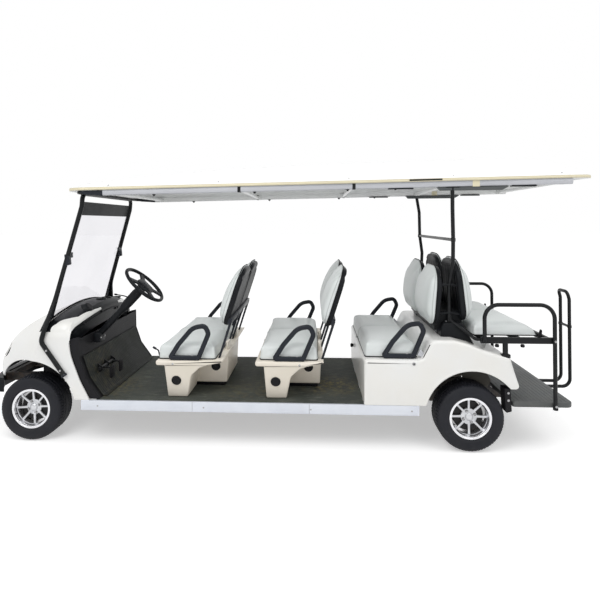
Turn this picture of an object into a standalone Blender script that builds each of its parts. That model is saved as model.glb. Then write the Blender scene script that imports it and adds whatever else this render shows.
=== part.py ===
"""Electric passenger cart: three forward benches, one rear-facing bench, long roof.

Metres, +Z up, the cart faces -X and its left-hand (driver's) side is -Y.
Stations along the cart are measured from the front axle, positive rearwards.
They hang from one empty, which puts the model's origin midway between the front
bumper and the grab hoop, on the ground.
"""

import math

import bmesh
import bpy
from mathutils import Matrix, Vector

# ---------------------------------------------------------------- clearances
GAP = 0.0003            # between pieces that touch
RUNNING = 0.0005        # round a shaft that turns in a bore
WALL = 0.010            # moulded body panels

# ------------------------------------------------------------ overall sizes
WHEELBASE = 3.12
BODY_HALF = 0.60        # half the width over the sills
BUMPER_X = -0.475       # foremost point
HOOP_X = WHEELBASE + 0.91   # grab hoop's centre line, hindmost
TUBE = 0.0135           # radius of the round steel tubes

# ------------------------------------------------------------------- wheels
TYRE_RADIUS = 0.2295
TYRE_HALF = 0.1025
BEAD_RADIUS = 0.127
LIP_RADIUS = 0.1425
RIM_HALF = 0.089
BORE_RADIUS = 0.0205
FRONT_TRACK = 2 * (BODY_HALF - 0.045 - TYRE_HALF)
REAR_TRACK = 2 * (BODY_HALF - 0.0075 - TYRE_HALF)
KINGPIN_Y = FRONT_TRACK / 2 - 0.1275
WHEEL_SIDES = 24
SPOKES = 8

# ------------------------------------------------------- floor and chassis
RAIL_Y = KINGPIN_Y - 0.135
RAIL_WIDTH = 0.04
RAIL_HEIGHT = 0.06
RAIL_TOP = 0.292
RAIL_RAISED_TOP = TYRE_RADIUS + 0.1605
RAIL_FRONT = -0.40
MOTOR_RADIUS = (RAIL_Y - RAIL_WIDTH / 2) / 2    # the drive hangs between the rails
PAN_THICK = 0.025
MAT_THICK = 0.007
SILL_TOP = 0.33
SILL_BOTTOM = 0.26
SILL_THICK = 0.02
SILL_FRONT = 0.40
SILL_REAR = WHEELBASE - 0.35
FLOOR_FRONT = 0.50
REAR_BODY_FRONT = WHEELBASE - 0.722
FLOOR_REAR = REAR_BODY_FRONT - GAP

# -------------------------------------------------------------- front body
COWL_HALF = BODY_HALF - 0.012
COWL_NOSE = -0.43
COWL_TOP = 0.93
COWL_LIP = RAIL_RAISED_TOP + 0.01   # lower edge of the nose
COWL_EDGE_RADIUS = 0.08
COWL_CROWN = 0.10       # fall of the bonnet from its middle to its sides
COWL_TAPER = 0.45       # how far the nose runs back from its middle to its sides
FRONT_ARCH_RADIUS = TYRE_RADIUS + 0.1305
WELL_INNER_Y = RAIL_Y + RAIL_WIDTH / 2 + 0.012
WELL_FRONT = -0.08
WELL_SKIN = 0.006
WELL_BOTTOM = TYRE_RADIUS + 0.1155
WELL_TOP = TYRE_RADIUS + FRONT_ARCH_RADIUS + WELL_SKIN
DASH_OVER_WELL = 0.006
BUMPER_HALF = 0.36
BUMPER_TOP = RAIL_RAISED_TOP + 0.003
BUMPER_BOTTOM = BUMPER_TOP - 0.108
FIREWALL_X = 0.376
DASH_HALF = COWL_HALF - 0.028
DASH_FRONT = 0.165
HEADLIGHT_Y = COWL_HALF - 0.283
HEADLIGHT_Z = COWL_LIP + 0.20
HEADLIGHT_WIDE = 0.088  # half-width of the oval lamp
HEADLIGHT_TALL = 0.056  # half-height
HEADLIGHT_PROUD = 0.004
HEADLIGHT_DEEP = 0.045

# ------------------------------------------------------------------ steering
WHEEL_HUB = Vector((0.755, -0.29, 1.10))
STEERING_TILT_DEG = 43          # of the column from vertical, leaning rearwards
STEERING_RADIUS = 0.17
STEERING_GRIP = 0.0135
COLUMN_RADIUS = 0.024
COLUMN_LENGTH = 0.53

# --------------------------------------------------------------------- seats
PEDESTAL_TOP = 0.600
PEDESTAL_HALF = BODY_HALF - 0.025
RECESS_HALF = 0.25      # half-width of the box behind the pedestal's front leg
VENT_RADIUS = 0.032
CUSHION_HALF = BODY_HALF - 0.06
CUSHION_THICK = 0.115
REAR_CUSHION_THICK = 0.085
BACK_INNER = 0.015
BACK_OUTER = CUSHION_HALF - 0.04
BACK_FOOT_RISE = 0.23   # of the backs of rows 1 and 2 over the pedestal
ARM_THICK = 0.026
ARM_BAND = 0.033
ARM_Y = CUSHION_HALF + 0.006 + ARM_THICK / 2
ROW_PITCH = 0.71
ROW_1_FRONT = 0.955
ROW_3_FRONT = REAR_BODY_FRONT + 0.007
REAR_BENCH_FRONT = WHEELBASE + 0.03
REAR_BENCH_REAR = WHEELBASE + 0.49
REAR_BODY_TOP = 0.63
BATTERY_HALF = BODY_HALF - 0.20

# ----------------------------------------------------------------- rear body
REAR_ARCH = (WHEELBASE + 0.01, TYRE_RADIUS + 0.0055)
REAR_ARCH_RADIUS = TYRE_RADIUS + 0.0955
DECK_TOP = 0.67
BACK_RIDGE_TOP = 0.705
STEP_FRONT = WHEELBASE + 0.28
STEP_REAR = WHEELBASE + 0.685
STEP_TOP = 0.35
STEP_THICK = 0.0355
FRAME_END = STEP_REAR - 0.025
SEAT_RAIL_TOP = 0.787
SEAT_RAIL_BOTTOM = 0.745
SEAT_RAIL_Y = BODY_HALF - 0.025
SEAT_RAIL_WIDTH = 0.025
HANDRAIL_Y = BODY_HALF - 0.005
HANDRAIL_TOP = 1.01
HOOP_RADIUS = 0.0125
HOOP_HALF = 0.07
HOOP_TOP = 1.03

# ---------------------------------------------------------------------- roof
ROOF_HALF = BODY_HALF + 0.02
ROOF_REAR = WHEELBASE + 0.83
RIM_Z = 1.8144          # rim height above the front axle
RIM_RISE = 0.0169       # per metre rearwards
ROOF_SKIN = 0.014
RIM_UNDER = 0.012       # the rim's lip below the rim height
GUTTER_Y = ROOF_HALF - 0.03
GUTTER_WIDTH = 0.03
GUTTER_HEIGHT = 0.04
GUTTER_FRONT = 0.56
GUTTER_REAR = WHEELBASE + 0.68
CROSS_TUBE = 0.0125     # radius of the tubes across the roof
STRUT_TOP_Y = GUTTER_Y - 0.105
STRUT_LOW_Y = COWL_HALF + TUBE + GAP
REAR_STRUT_X = WHEELBASE - 0.07
REAR_STRUT_Y = BODY_HALF - 0.055
REAR_STRUT_BRACE = 0.011

# Roof sections.  Columns: station, inset from the full half-width, height of the
# crown over the rim.
ROOF_SECTIONS = (
    (0.22, 0.120, 0.012),
    (0.25, 0.055, 0.034),
    (0.32, 0.010, 0.055),
    (0.45, 0.0, 0.080),
    (0.85, 0.0, 0.114),
    (1.30, 0.0, 0.143),
    (1.95, 0.0, 0.165),
    (2.70, 0.0, 0.172),
    (ROOF_REAR - 0.55, 0.0, 0.172),
    (ROOF_REAR - 0.27, 0.0, 0.155),
    (ROOF_REAR - 0.13, 0.002, 0.112),
    (ROOF_REAR - 0.05, 0.020, 0.068),
    (ROOF_REAR, 0.080, 0.020),
)

# Benches.  Columns: name, cushion front, cushion rear, underside.
BENCHES = (
    ("row_1", ROW_1_FRONT - 0.020, ROW_1_FRONT + 0.402, PEDESTAL_TOP + GAP),
    ("row_2", ROW_1_FRONT + ROW_PITCH, ROW_1_FRONT + ROW_PITCH + 0.420, PEDESTAL_TOP + GAP),
    ("row_3", ROW_3_FRONT, ROW_3_FRONT + 0.37, REAR_BODY_TOP + GAP),
    ("rear", REAR_BENCH_FRONT, REAR_BENCH_REAR, SEAT_RAIL_TOP + GAP),
)

# Backrests.  Columns: name, foot station, foot height, lean rearwards in degrees,
# height, side of the shell that the cushion is on (-1 front, +1 rear).
BACKS = (
    ("row_1", ROW_1_FRONT + 0.446, PEDESTAL_TOP + BACK_FOOT_RISE, 18, 0.43, -1),
    ("row_2", ROW_1_FRONT + 0.478 + ROW_PITCH, PEDESTAL_TOP + BACK_FOOT_RISE, 18, 0.43, -1),
    ("row_3", ROW_3_FRONT + 0.50, BACK_RIDGE_TOP + 0.135, 5, 0.41, -1),
    ("rear", REAR_BENCH_FRONT - 0.03, SEAT_RAIL_TOP + 0.088, -6, 0.43, 1),
)
SHELL_THICK = 0.028
BACK_LEGS = (0.036, 0.050)      # depth of the legs behind the shells' front face
LEG_WIDTH = 0.03
BACK_PAD = 0.07

# Armrests.  Columns: name, front station, underside.
ARMRESTS = (
    ("row_1", ROW_1_FRONT + 0.047, PEDESTAL_TOP + GAP),
    ("row_2", ROW_1_FRONT + 0.080 + ROW_PITCH, PEDESTAL_TOP + GAP),
    ("row_3", ROW_3_FRONT + 0.10, REAR_BODY_TOP + GAP),
)

SIDES = (("left", -1), ("right", 1))


# ------------------------------------------------------------------ materials
# Columns: colour, roughness, metallic.
FINISHES = {
    "white_panel": ((0.86, 0.87, 0.88), 0.30, 0.0),
    "cream_panel": ((0.88, 0.85, 0.76), 0.35, 0.0),
    "black_plastic": ((0.030, 0.031, 0.033), 0.50, 0.0),
    "black_steel": ((0.020, 0.020, 0.022), 0.35, 0.6),
    "grey_vinyl": ((0.66, 0.68, 0.69), 0.55, 0.0),
    "rubber": ((0.025, 0.025, 0.027), 0.80, 0.0),
    "alloy": ((0.66, 0.67, 0.69), 0.25, 1.0),
    "sill_metal": ((0.72, 0.75, 0.80), 0.40, 0.8),
    "grey_metal": ((0.45, 0.46, 0.48), 0.45, 0.8),
    "floor_rubber": ((0.14, 0.15, 0.13), 0.80, 0.0),
    "step_plastic": ((0.10, 0.105, 0.11), 0.60, 0.0),
    "cast_iron": ((0.08, 0.08, 0.085), 0.60, 0.8),
    "clear_sheet": ((0.80, 0.83, 0.84), 0.05, 0.0),
}


def finish_material(name):
    """Return the Principled material of a named finish, made once."""
    found = bpy.data.materials.get(name)
    if found:
        return found
    colour, roughness, metallic = FINISHES[name]
    material = bpy.data.materials.new(name)
    material.use_nodes = True
    shader = material.node_tree.nodes["Principled BSDF"]
    shader.inputs["Base Color"].default_value = (*colour, 1.0)
    shader.inputs["Roughness"].default_value = roughness
    shader.inputs["Metallic"].default_value = metallic
    material.diffuse_color = (*colour, 1.0)
    return material


# -------------------------------------------------------------- shape helpers
def rounded(points, radius, closed=False, steps=4):
    """Replace the corners of a line of 3-D points by arcs.

    A point may carry its own radius as a fourth number.
    """
    corners = [Vector(p[:3]) for p in points]
    radii = [p[3] if len(p) > 3 else radius for p in points]
    count = len(corners)
    result = []
    for i, corner in enumerate(corners):
        if not closed and i in (0, count - 1):
            result.append(corner)
            continue
        back = (corners[i - 1] - corner).normalized()
        ahead = (corners[(i + 1) % count] - corner).normalized()
        bend = math.pi - back.angle(ahead)
        if bend < 0.02 or radii[i] <= 0:
            result.append(corner)
            continue
        reach = radii[i] * math.tan(bend / 2)
        start = corner + back * reach
        middle = corner + (back + ahead).normalized() * (radii[i] / math.cos(bend / 2))
        side = (start - middle).normalized()
        turn = (corner + ahead * reach - middle).normalized()
        axis = side.cross(turn).normalized()
        for k in range(steps + 1):
            result.append(middle + (Matrix.Rotation(bend * k / steps, 3, axis) @ side) * radii[i])
    return result


def in_side_view(points, radius=0.0, steps=4):
    """Round a closed outline given as (station, height) or (station, height, radius)."""
    lifted = [(p[0], 0.0, p[1], p[2] if len(p) > 2 else radius) for p in points]
    return [(v.x, v.z) for v in rounded(lifted, radius, closed=True, steps=steps)]


def loft(rings):
    """Close a row of equal rings of 3-D points into a solid with flat ends."""
    mesh = bmesh.new()
    rows = [[mesh.verts.new(point) for point in ring] for ring in rings]
    count = len(rows[0])
    for first, second in zip(rows, rows[1:]):
        for i in range(count):
            j = (i + 1) % count
            mesh.faces.new((first[i], first[j], second[j], second[i]))
    mesh.faces.new(reversed(rows[0]))
    mesh.faces.new(rows[-1])
    return mesh


def prism(outline, y_low, y_high):
    """Extrude a side-view outline across the cart."""
    return loft([[(x, y, z) for x, z in outline] for y in (y_low, y_high)])


def block(x, y, z):
    """Make a box from three (low, high) pairs."""
    return prism([(x[0], z[0]), (x[1], z[0]), (x[1], z[1]), (x[0], z[1])], *y)


def tube(path, radius=TUBE, sides=8):
    """Sweep a round section along a path, with flat ends and mitred bends."""
    path = [Vector(p) for p in path]
    rings = []
    along = (path[1] - path[0]).normalized()
    helper = Vector((0, 1, 0)) if abs(along.y) < 0.9 else Vector((1, 0, 0))
    first = along.cross(helper).normalized()
    for i, point in enumerate(path):
        ahead = (path[min(i + 1, len(path) - 1)] - point)
        behind = (point - path[max(i - 1, 0)])
        ahead = ahead.normalized() if ahead.length else behind.normalized()
        behind = behind.normalized() if behind.length else ahead
        plane = (ahead + behind).normalized()
        first = (first - behind * first.dot(behind)).normalized()
        second = behind.cross(first)
        ring = []
        for k in range(sides):
            angle = 2 * math.pi * k / sides
            spoke = (first * math.cos(angle) + second * math.sin(angle)) * radius
            ring.append(point + spoke - behind * (spoke.dot(plane) / behind.dot(plane)))
        rings.append(ring)
        first = (first - ahead * first.dot(ahead)).normalized()
    return loft(rings)


def turned(profile, sides=WHEEL_SIDES, closed=True):
    """Turn a profile of (radius, along) about the Y axis, a flat facing down.

    The radii are those of the flats.  A closed profile is a ring; an open one
    starts and ends on the axis.
    """
    mesh = bmesh.new()
    reach = 1 / math.cos(math.pi / sides)
    rows = []
    for radius, along in profile:
        if radius == 0:
            rows.append([mesh.verts.new((0, along, 0))] * sides)
            continue
        angles = [2 * math.pi * (k + 0.5) / sides - math.pi / 2 for k in range(sides)]
        rows.append([mesh.verts.new((radius * reach * math.cos(a), along,
                                     radius * reach * math.sin(a))) for a in angles])
    pairs = list(zip(rows, rows[1:] + rows[:1])) if closed else list(zip(rows, rows[1:]))
    for first, second in pairs:
        if first[0] is first[1] and second[0] is second[1]:
            continue
        for k in range(sides):
            n = (k + 1) % sides
            corners = []
            for vert in (first[k], first[n], second[n], second[k]):
                if vert not in corners:
                    corners.append(vert)
            mesh.faces.new(corners)
    return mesh


def cylinder(start, end, radius, sides=16):
    """Make a round bar between two points."""
    return tube([start, end], radius, sides)


def moved(mesh, matrix):
    """Move a shape and give it back."""
    bmesh.ops.transform(mesh, matrix=matrix, verts=mesh.verts)
    return mesh


# ------------------------------------------------------------ object helpers
def as_object(mesh, name):
    """Put a shape in the scene as an object under the cart's empty."""
    bmesh.ops.recalc_face_normals(mesh, faces=mesh.faces)
    data = bpy.data.meshes.new(name)
    mesh.to_mesh(data)
    mesh.free()
    thing = bpy.data.objects.new(name, data)
    bpy.context.scene.collection.objects.link(thing)
    thing.parent = CART
    return thing


def combine(base, others, operation):
    """Apply Boolean operations to an object with a list of shapes."""
    tools = [as_object(mesh, "tool") for mesh in others]
    for tool in tools:
        tool.hide_render = True
        tool.display_type = "WIRE"
        modifier = base.modifiers.new("combine", "BOOLEAN")
        modifier.operation = operation
        modifier.solver = "EXACT"
        modifier.object = tool
    bpy.context.view_layer.update()
    graph = bpy.context.evaluated_depsgraph_get()
    result = bpy.data.meshes.new_from_object(base.evaluated_get(graph))
    base.modifiers.clear()
    old = base.data
    base.data = result
    bpy.data.meshes.remove(old)
    for tool in tools:
        bpy.data.objects.remove(tool)


def piece(name, finish, shapes, cuts=(), origin=(0, 0, 0)):
    """Make one named solid: the union of its shapes, less its cuts.

    Its object's origin is put at the given point, which is on the joint's axis
    where the piece moves.
    """
    thing = as_object(shapes[0], name)
    if len(shapes) > 1:
        combine(thing, shapes[1:], "UNION")
    if cuts:
        combine(thing, cuts, "DIFFERENCE")
    thing.data.name = name
    thing.data.transform(Matrix.Translation(-Vector(origin)))
    thing.location = origin
    thing.data.materials.clear()
    thing.data.materials.append(finish_material(finish))
    thing.data.shade_smooth()
    thing.data.set_sharp_from_angle(angle=math.radians(35))
    return thing


# -------------------------------------------------------------------- wheels
def tyre_profile():
    """Section of the tyre about its mid plane: bore, bead, sidewall, tread."""
    half = (
        (BEAD_RADIUS + GAP, RIM_HALF - 0.0032),
        (LIP_RADIUS + 0.0008, RIM_HALF - 0.0032),
        (LIP_RADIUS + 0.006, TYRE_HALF - 0.006),
        (0.172, TYRE_HALF),
        (0.203, TYRE_HALF - 0.002),
        (TYRE_RADIUS - 0.010, TYRE_HALF - 0.010),
        (TYRE_RADIUS, TYRE_HALF - 0.032),
    )
    return list(half) + [(r, -y) for r, y in reversed(half)]


def rim_profile():
    """Section of the rim and its hub, outer face towards positive."""
    lip = RIM_HALF - 0.0028
    return (
        (0.0, 0.054), (0.034, 0.054), (0.043, 0.049), (0.120, 0.068),
        (0.134, RIM_HALF), (LIP_RADIUS, RIM_HALF), (LIP_RADIUS, lip), (BEAD_RADIUS, lip),
        (BEAD_RADIUS, -lip), (LIP_RADIUS, -lip), (LIP_RADIUS, -RIM_HALF), (0.119, -RIM_HALF),
        (0.119, 0.054), (0.048, 0.034), (0.048, -0.030), (BORE_RADIUS, -0.030),
        (BORE_RADIUS, 0.040), (0.0, 0.040),
    )


def spoke_windows():
    """Eight wedge cutters that leave slim spokes in the rim's disc."""
    inner, outer, rib = 0.054, 0.108, 0.013
    cutters = []
    for k in range(SPOKES):
        angle = 2 * math.pi * (k + 0.5) / SPOKES
        half_step = math.pi / SPOKES
        wide_in = inner * math.tan(half_step) - rib / 2
        wide_out = outer * math.tan(half_step) - rib / 2
        outline = [(inner, -wide_in), (outer, -wide_out), (outer, wide_out), (inner, wide_in)]
        cutters.append(moved(prism(outline, 0.02, 0.08), Matrix.Rotation(angle, 4, "Y")))
    return cutters


def wheel(where, side_name, side, station, track):
    """One tyre and its rim, both turning on the wheel's axis."""
    centre = Vector((station, side * track / 2, TYRE_RADIUS))
    place = Matrix.Translation(centre) @ Matrix.Scale(side, 4, (0, 1, 0))
    name = f"{where}_{side_name}"
    piece(f"tyre_{name}", "rubber", [moved(turned(tyre_profile()), place)], origin=centre)
    windows = [moved(cutter, place) for cutter in spoke_windows()]
    body = moved(turned(rim_profile(), closed=False), place)
    piece(f"rim_{name}", "alloy", [body], windows, origin=centre)


def wheels():
    """The four road wheels."""
    for side_name, side in SIDES:
        wheel("front", side_name, side, 0.0, FRONT_TRACK)
        wheel("rear", side_name, side, WHEELBASE, REAR_TRACK)


# ------------------------------------------------------------ axles, knuckles
SPINDLE_RADIUS = BORE_RADIUS - RUNNING
BOSS_RADIUS = 0.022
BOSS_HALF = 0.05
LUG_THICK = 0.027
SPRING_HALF_LENGTH = 0.22


def knuckle(side_name, side):
    """Steering knuckle: kingpin boss, spindle and steering arm."""
    pin = Vector((0, side * KINGPIN_Y, TYRE_RADIUS))
    tip_y = FRONT_TRACK / 2 + 0.040 - GAP
    collar_y = FRONT_TRACK / 2 - 0.030 - 0.002
    boss = cylinder(pin - Vector((0, 0, BOSS_HALF)), pin + Vector((0, 0, BOSS_HALF)), BOSS_RADIUS)
    spindle = cylinder(pin, (0, side * tip_y, TYRE_RADIUS), SPINDLE_RADIUS, WHEEL_SIDES)
    collar = cylinder(pin, (0, side * collar_y, TYRE_RADIUS), 0.032)
    arm = block((0, 0.12), sorted((side * (KINGPIN_Y - 0.009), side * (KINGPIN_Y + 0.009))),
                (TYRE_RADIUS - 0.040, TYRE_RADIUS - 0.024))
    piece(f"knuckle_{side_name}", "cast_iron", [boss, spindle, collar, arm], origin=pin)


def spring(station, side, top):
    """One leaf spring lying along the cart with its top at a height."""
    middle, ends, thick = top, top + 0.03, 0.02
    outline = [
        (station - SPRING_HALF_LENGTH, ends - thick), (station - 0.07, middle - thick),
        (station + 0.07, middle - thick), (station + SPRING_HALF_LENGTH, ends - thick),
        (station + SPRING_HALF_LENGTH, ends), (station + 0.07, middle),
        (station - 0.07, middle), (station - SPRING_HALF_LENGTH, ends),
    ]
    return prism(outline, *sorted((side * (RAIL_Y - 0.022), side * (RAIL_Y + 0.022))))


SPRING_TOP = RAIL_RAISED_TOP - RAIL_HEIGHT - GAP - 0.03


def front_axle():
    """Beam with a forked end round each kingpin boss, and its leaf springs."""
    fork_in = KINGPIN_Y - 0.040
    plate_out = KINGPIN_Y - 0.025
    lug_out = KINGPIN_Y + 0.020
    low = TYRE_RADIUS - BOSS_HALF - RUNNING
    high = TYRE_RADIUS + BOSS_HALF + RUNNING
    shapes = [block((-0.022, 0.022), (-fork_in - 0.005, fork_in + 0.005),
                    (TYRE_RADIUS - 0.025, TYRE_RADIUS + 0.025))]
    for _, side in SIDES:
        plate = sorted((side * fork_in, side * plate_out))
        lug = sorted((side * fork_in, side * lug_out))
        shapes.append(block((-0.024, 0.024), plate, (low - LUG_THICK, high + LUG_THICK)))
        shapes.append(block((-0.0235, 0.0235), lug, (low - LUG_THICK + 0.001, low)))
        shapes.append(block((-0.0235, 0.0235), lug, (high, high + LUG_THICK - 0.001)))
        seat = sorted((side * (RAIL_Y - 0.03), side * (RAIL_Y + 0.03)))
        shapes.append(block((-0.05, 0.05), seat, (TYRE_RADIUS + 0.01, SPRING_TOP - 0.01)))
        shapes.append(spring(0.0, side, SPRING_TOP))
    piece("front_axle", "cast_iron", shapes)


def rear_axle():
    """Live axle: tube, half-shaft ends, differential, motor and leaf springs."""
    tip = REAR_TRACK / 2 + 0.040 - GAP
    flange = REAR_TRACK / 2 - 0.030 - 0.002
    x, z = WHEELBASE, TYRE_RADIUS
    shapes = [cylinder((x, -flange, z), (x, flange, z), 0.032, 16)]
    shapes.append(cylinder((x, -tip, z), (x, tip, z), SPINDLE_RADIUS, WHEEL_SIDES))
    shapes.append(cylinder((x, -0.05, z), (x, 0.07, z), MOTOR_RADIUS, 16))
    for _, side in SIDES:
        drum = sorted((side * (flange - 0.045), side * (flange - 0.005)))
        shapes.append(cylinder((x, drum[0], z), (x, drum[1], z), 0.082, 16))
        seat = sorted((side * (RAIL_Y - 0.03), side * (RAIL_Y + 0.03)))
        shapes.append(block((x - 0.05, x + 0.05), seat, (z + 0.01, SPRING_TOP - 0.01)))
        shapes.append(spring(x, side, SPRING_TOP))
    piece("rear_axle", "cast_iron", shapes)


def drive_motor():
    """Electric drive motor, a plain drum ahead of the differential."""
    x, z = WHEELBASE - MOTOR_RADIUS - GAP, TYRE_RADIUS
    start = (x, 0.01, z)
    piece("drive_motor", "cast_iron", [cylinder((x - 0.26, 0.01, z), start, MOTOR_RADIUS, 24)])


# -------------------------------------------------------------------- chassis
def rail_outline():
    """Side view of a frame rail: raised over both axles, low under the floor."""
    low, high = RAIL_TOP, RAIL_RAISED_TOP
    tail = STEP_TOP - STEP_THICK - GAP
    top = [(RAIL_FRONT, high), (0.34, high), (0.49, low), (WHEELBASE - 0.39, low),
           (WHEELBASE - 0.27, high), (STEP_FRONT - 0.055, high), (STEP_FRONT - 0.005, tail),
           (FRAME_END, tail)]
    under = [(x, z - RAIL_HEIGHT) for x, z in reversed(top)]
    return top + under


def chassis_frame():
    """Ladder frame: two shaped rails, cross members and floor outriggers."""
    shapes = []
    for _, side in SIDES:
        band = sorted((side * (RAIL_Y - RAIL_WIDTH / 2), side * (RAIL_Y + RAIL_WIDTH / 2)))
        shapes.append(prism(rail_outline(), *band))
    short, long = RAIL_Y + 0.01, BODY_HALF - 0.035
    raised, low = RAIL_RAISED_TOP - 0.005, RAIL_TOP - 0.002
    tail = STEP_TOP - STEP_THICK - 0.0025
    # Columns: first station, length, half-width, top.
    cross_members = (
        (RAIL_FRONT + 0.001, 0.039, short, raised),
        (0.55, 0.04, long, low),
        (1.00, 0.04, long, low),
        (1.70, 0.04, long, low),
        (FLOOR_REAR - 0.06, 0.04, long, low),
        (WHEELBASE - 0.44, 0.03, short, low),
        (WHEELBASE + 0.17, 0.04, short, raised),
        (FRAME_END - 0.04, 0.0398, short, tail),
    )
    for first, length, half, top in cross_members:
        shapes.append(block((first, first + length), (-half, half), (top - 0.045, top)))
    piece("chassis_frame", "black_steel", shapes)


PAN_TOP = RAIL_TOP + GAP + PAN_THICK
MAT_TOP = PAN_TOP + GAP + MAT_THICK


def floor():
    """Floor pan on the frame, rubber mat on the pan, a metal sill on each side."""
    pan_half = BODY_HALF - SILL_THICK - GAP
    piece("floor_pan", "black_steel",
          [block((FLOOR_FRONT, FLOOR_REAR), (-pan_half, pan_half), (RAIL_TOP + GAP, PAN_TOP))])
    piece("floor_mat", "floor_rubber",
          [block((FLOOR_FRONT + 0.03, FLOOR_REAR), (-pan_half, pan_half), (PAN_TOP + GAP, MAT_TOP))])
    outline = in_side_view([(SILL_FRONT, SILL_BOTTOM), (SILL_REAR, SILL_BOTTOM),
                            (SILL_REAR, SILL_TOP, 0.01), (SILL_FRONT + 0.03, SILL_TOP, 0.01)],
                           steps=2)
    for side_name, side in SIDES:
        band = sorted((side * (BODY_HALF - SILL_THICK), side * BODY_HALF))
        piece(f"sill_{side_name}", "sill_metal", [prism(outline, *band)])


# ----------------------------------------------------------------- front body
def cowl_drop(y, half=COWL_HALF):
    """How far the cowl's top falls at a distance off centre: a crown, then a round edge."""
    over = min(max(0.0, abs(y) - (half - COWL_EDGE_RADIUS)), COWL_EDGE_RADIUS)
    edge = COWL_EDGE_RADIUS - math.sqrt(COWL_EDGE_RADIUS ** 2 - over ** 2)
    return COWL_CROWN * (y / half) ** 2 + edge


def cowl_nose(y, half=COWL_HALF):
    """Station of the nose at a distance off centre: the plan tapers to the front."""
    return COWL_NOSE + COWL_TAPER * abs(y / half) ** 3


# Slope of the bonnet.  Columns: share of the way from nose to screen, share of the rise.
BONNET = ((0.71, 0.88), (0.42, 0.70), (0.20, 0.49), (0.055, 0.23), (0.0, 0.04))
BONNET_LOW = COWL_LIP + 0.07
SCREEN_FOOT = 0.12
COWL_OPENED = 0.12      # how far the cowl's hollow runs out through its open sides
COWL_ROWS = (0, 0.35, 0.53, 0.68, 0.80, 0.90, 0.95, 0.985, 1.0)


def cowl_loft(inset, open_below=0.0):
    """The cowl's outer form, or with an inset the hollow inside it, opened downwards."""
    half = COWL_HALF - inset
    stations = [half * f for f in COWL_ROWS]
    rows = [-y for y in reversed(stations[1:])] + stations
    bottom = SILL_TOP + GAP
    opened = open_below
    rings = []
    for y in rows:
        top = COWL_TOP - min(cowl_drop(y, half), 0.17) - inset
        nose = cowl_nose(y, half) + inset
        ring = [
            (0.455 + opened, bottom - opened), (0.385 + opened, 0.45), (0.315 + opened, 0.63),
            (0.300 + opened, min(0.76, top - 0.04)), (0.345 + opened, top - 0.02), (0.320, top),
            (SCREEN_FOOT, top),
        ]
        ring += [(nose + run * (SCREEN_FOOT - nose), BONNET_LOW + rise * (top - BONNET_LOW))
                 for run, rise in BONNET]
        ring += [(nose + 0.005, COWL_LIP + 0.02), (nose + 0.04, COWL_LIP - opened),
                 (max(nose + 0.07, -0.20), COWL_LIP - 0.04 - opened), (0.20, bottom - opened)]
        rings.append([(x, y, z) for x, z in ring])
    return loft(rings)


def dash_loft(margin):
    """The dashboard's form, grown by a margin to cut its seat in the cowl."""
    half = DASH_HALF + margin
    rows = [half * f for f in (-1, -0.9, -0.65, -0.35, 0, 0.35, 0.65, 0.9, 1)]
    rings = []
    for y in rows:
        top = COWL_TOP - cowl_drop(y)
        low = max(top - 0.15, WELL_TOP + DASH_OVER_WELL) - margin
        front, rear = DASH_FRONT - margin, 0.372 + margin
        ring = [
            (front, top - 0.022 - margin), (front, top + 0.004 + margin), (0.22, top + 0.016 + margin),
            (0.33, top + 0.010 + margin), (rear, top - 0.020), (rear - 0.012, low),
            (0.318 - margin, low), (0.308 - margin, top - 0.022 - margin),
        ]
        rings.append([(x, y, z) for x, z in ring])
    return loft(rings)


def headlight_form(side, margin, front, rear):
    """An oval bar along the cart at the headlight's place."""
    rings = []
    for x in (front, rear):
        angles = [2 * math.pi * k / 24 for k in range(24)]
        rings.append([(x, side * HEADLIGHT_Y + (HEADLIGHT_WIDE + margin) * math.cos(a),
                       HEADLIGHT_Z + (HEADLIGHT_TALL + margin) * math.sin(a)) for a in angles])
    return loft(rings)


def headlight(side_name, side):
    """A lamp that fills its hole in the nose, its lens a little proud of the skin."""
    name = f"headlight_{side_name}"
    lamp = piece(name, "clear_sheet", [headlight_form(side, 0.0, -0.50, -0.12)])
    combine(lamp, [cowl_loft(-HEADLIGHT_PROUD)], "INTERSECT")
    combine(lamp, [cowl_loft(HEADLIGHT_DEEP)], "DIFFERENCE")


def front_bumper():
    """Bumper bar bent to the nose's plan, bolted to the frame's first cross member."""
    seat = RAIL_Y + RAIL_WIDTH / 2 + 0.005
    back = RAIL_FRONT - GAP
    rings = []
    for y in (-BUMPER_HALF, -0.93 * BUMPER_HALF, -0.8 * BUMPER_HALF, -seat, -seat / 2, 0,
              seat / 2, seat, 0.8 * BUMPER_HALF, 0.93 * BUMPER_HALF, BUMPER_HALF):
        front = BUMPER_X + cowl_nose(y) - COWL_NOSE
        rear = back if abs(y) <= seat else front + 0.055
        outline = in_side_view([
            (rear, BUMPER_BOTTOM), (front + 0.01, BUMPER_BOTTOM, 0.02),
            (front, BUMPER_BOTTOM + 0.025, 0.02), (front, BUMPER_TOP - 0.023, 0.02),
            (front + 0.015, BUMPER_TOP, 0.012), (rear, BUMPER_TOP)], steps=2)
        rings.append([(x, y, z) for x, z in outline])
    piece("front_bumper", "black_plastic", [loft(rings)])


def front_body():
    """Hollow cowl with open wheel arches, dashboard and lamps."""
    cuts = [cowl_loft(WALL, COWL_OPENED), dash_loft(GAP)]
    hub = TYRE_RADIUS
    for _, side in SIDES:
        arch = cylinder((0, side * (WELL_INNER_Y + 0.038), hub), (0, side * 0.90, hub),
                        FRONT_ARCH_RADIUS, 48)
        cuts.append(arch)
        cuts.append(headlight_form(side, GAP, -0.50, -0.10))
    piece("front_cowl", "white_panel", [cowl_loft(0.0)], cuts)
    piece("dashboard", "black_plastic", [dash_loft(0.0)])
    for side_name, side in SIDES:
        headlight(side_name, side)


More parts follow.
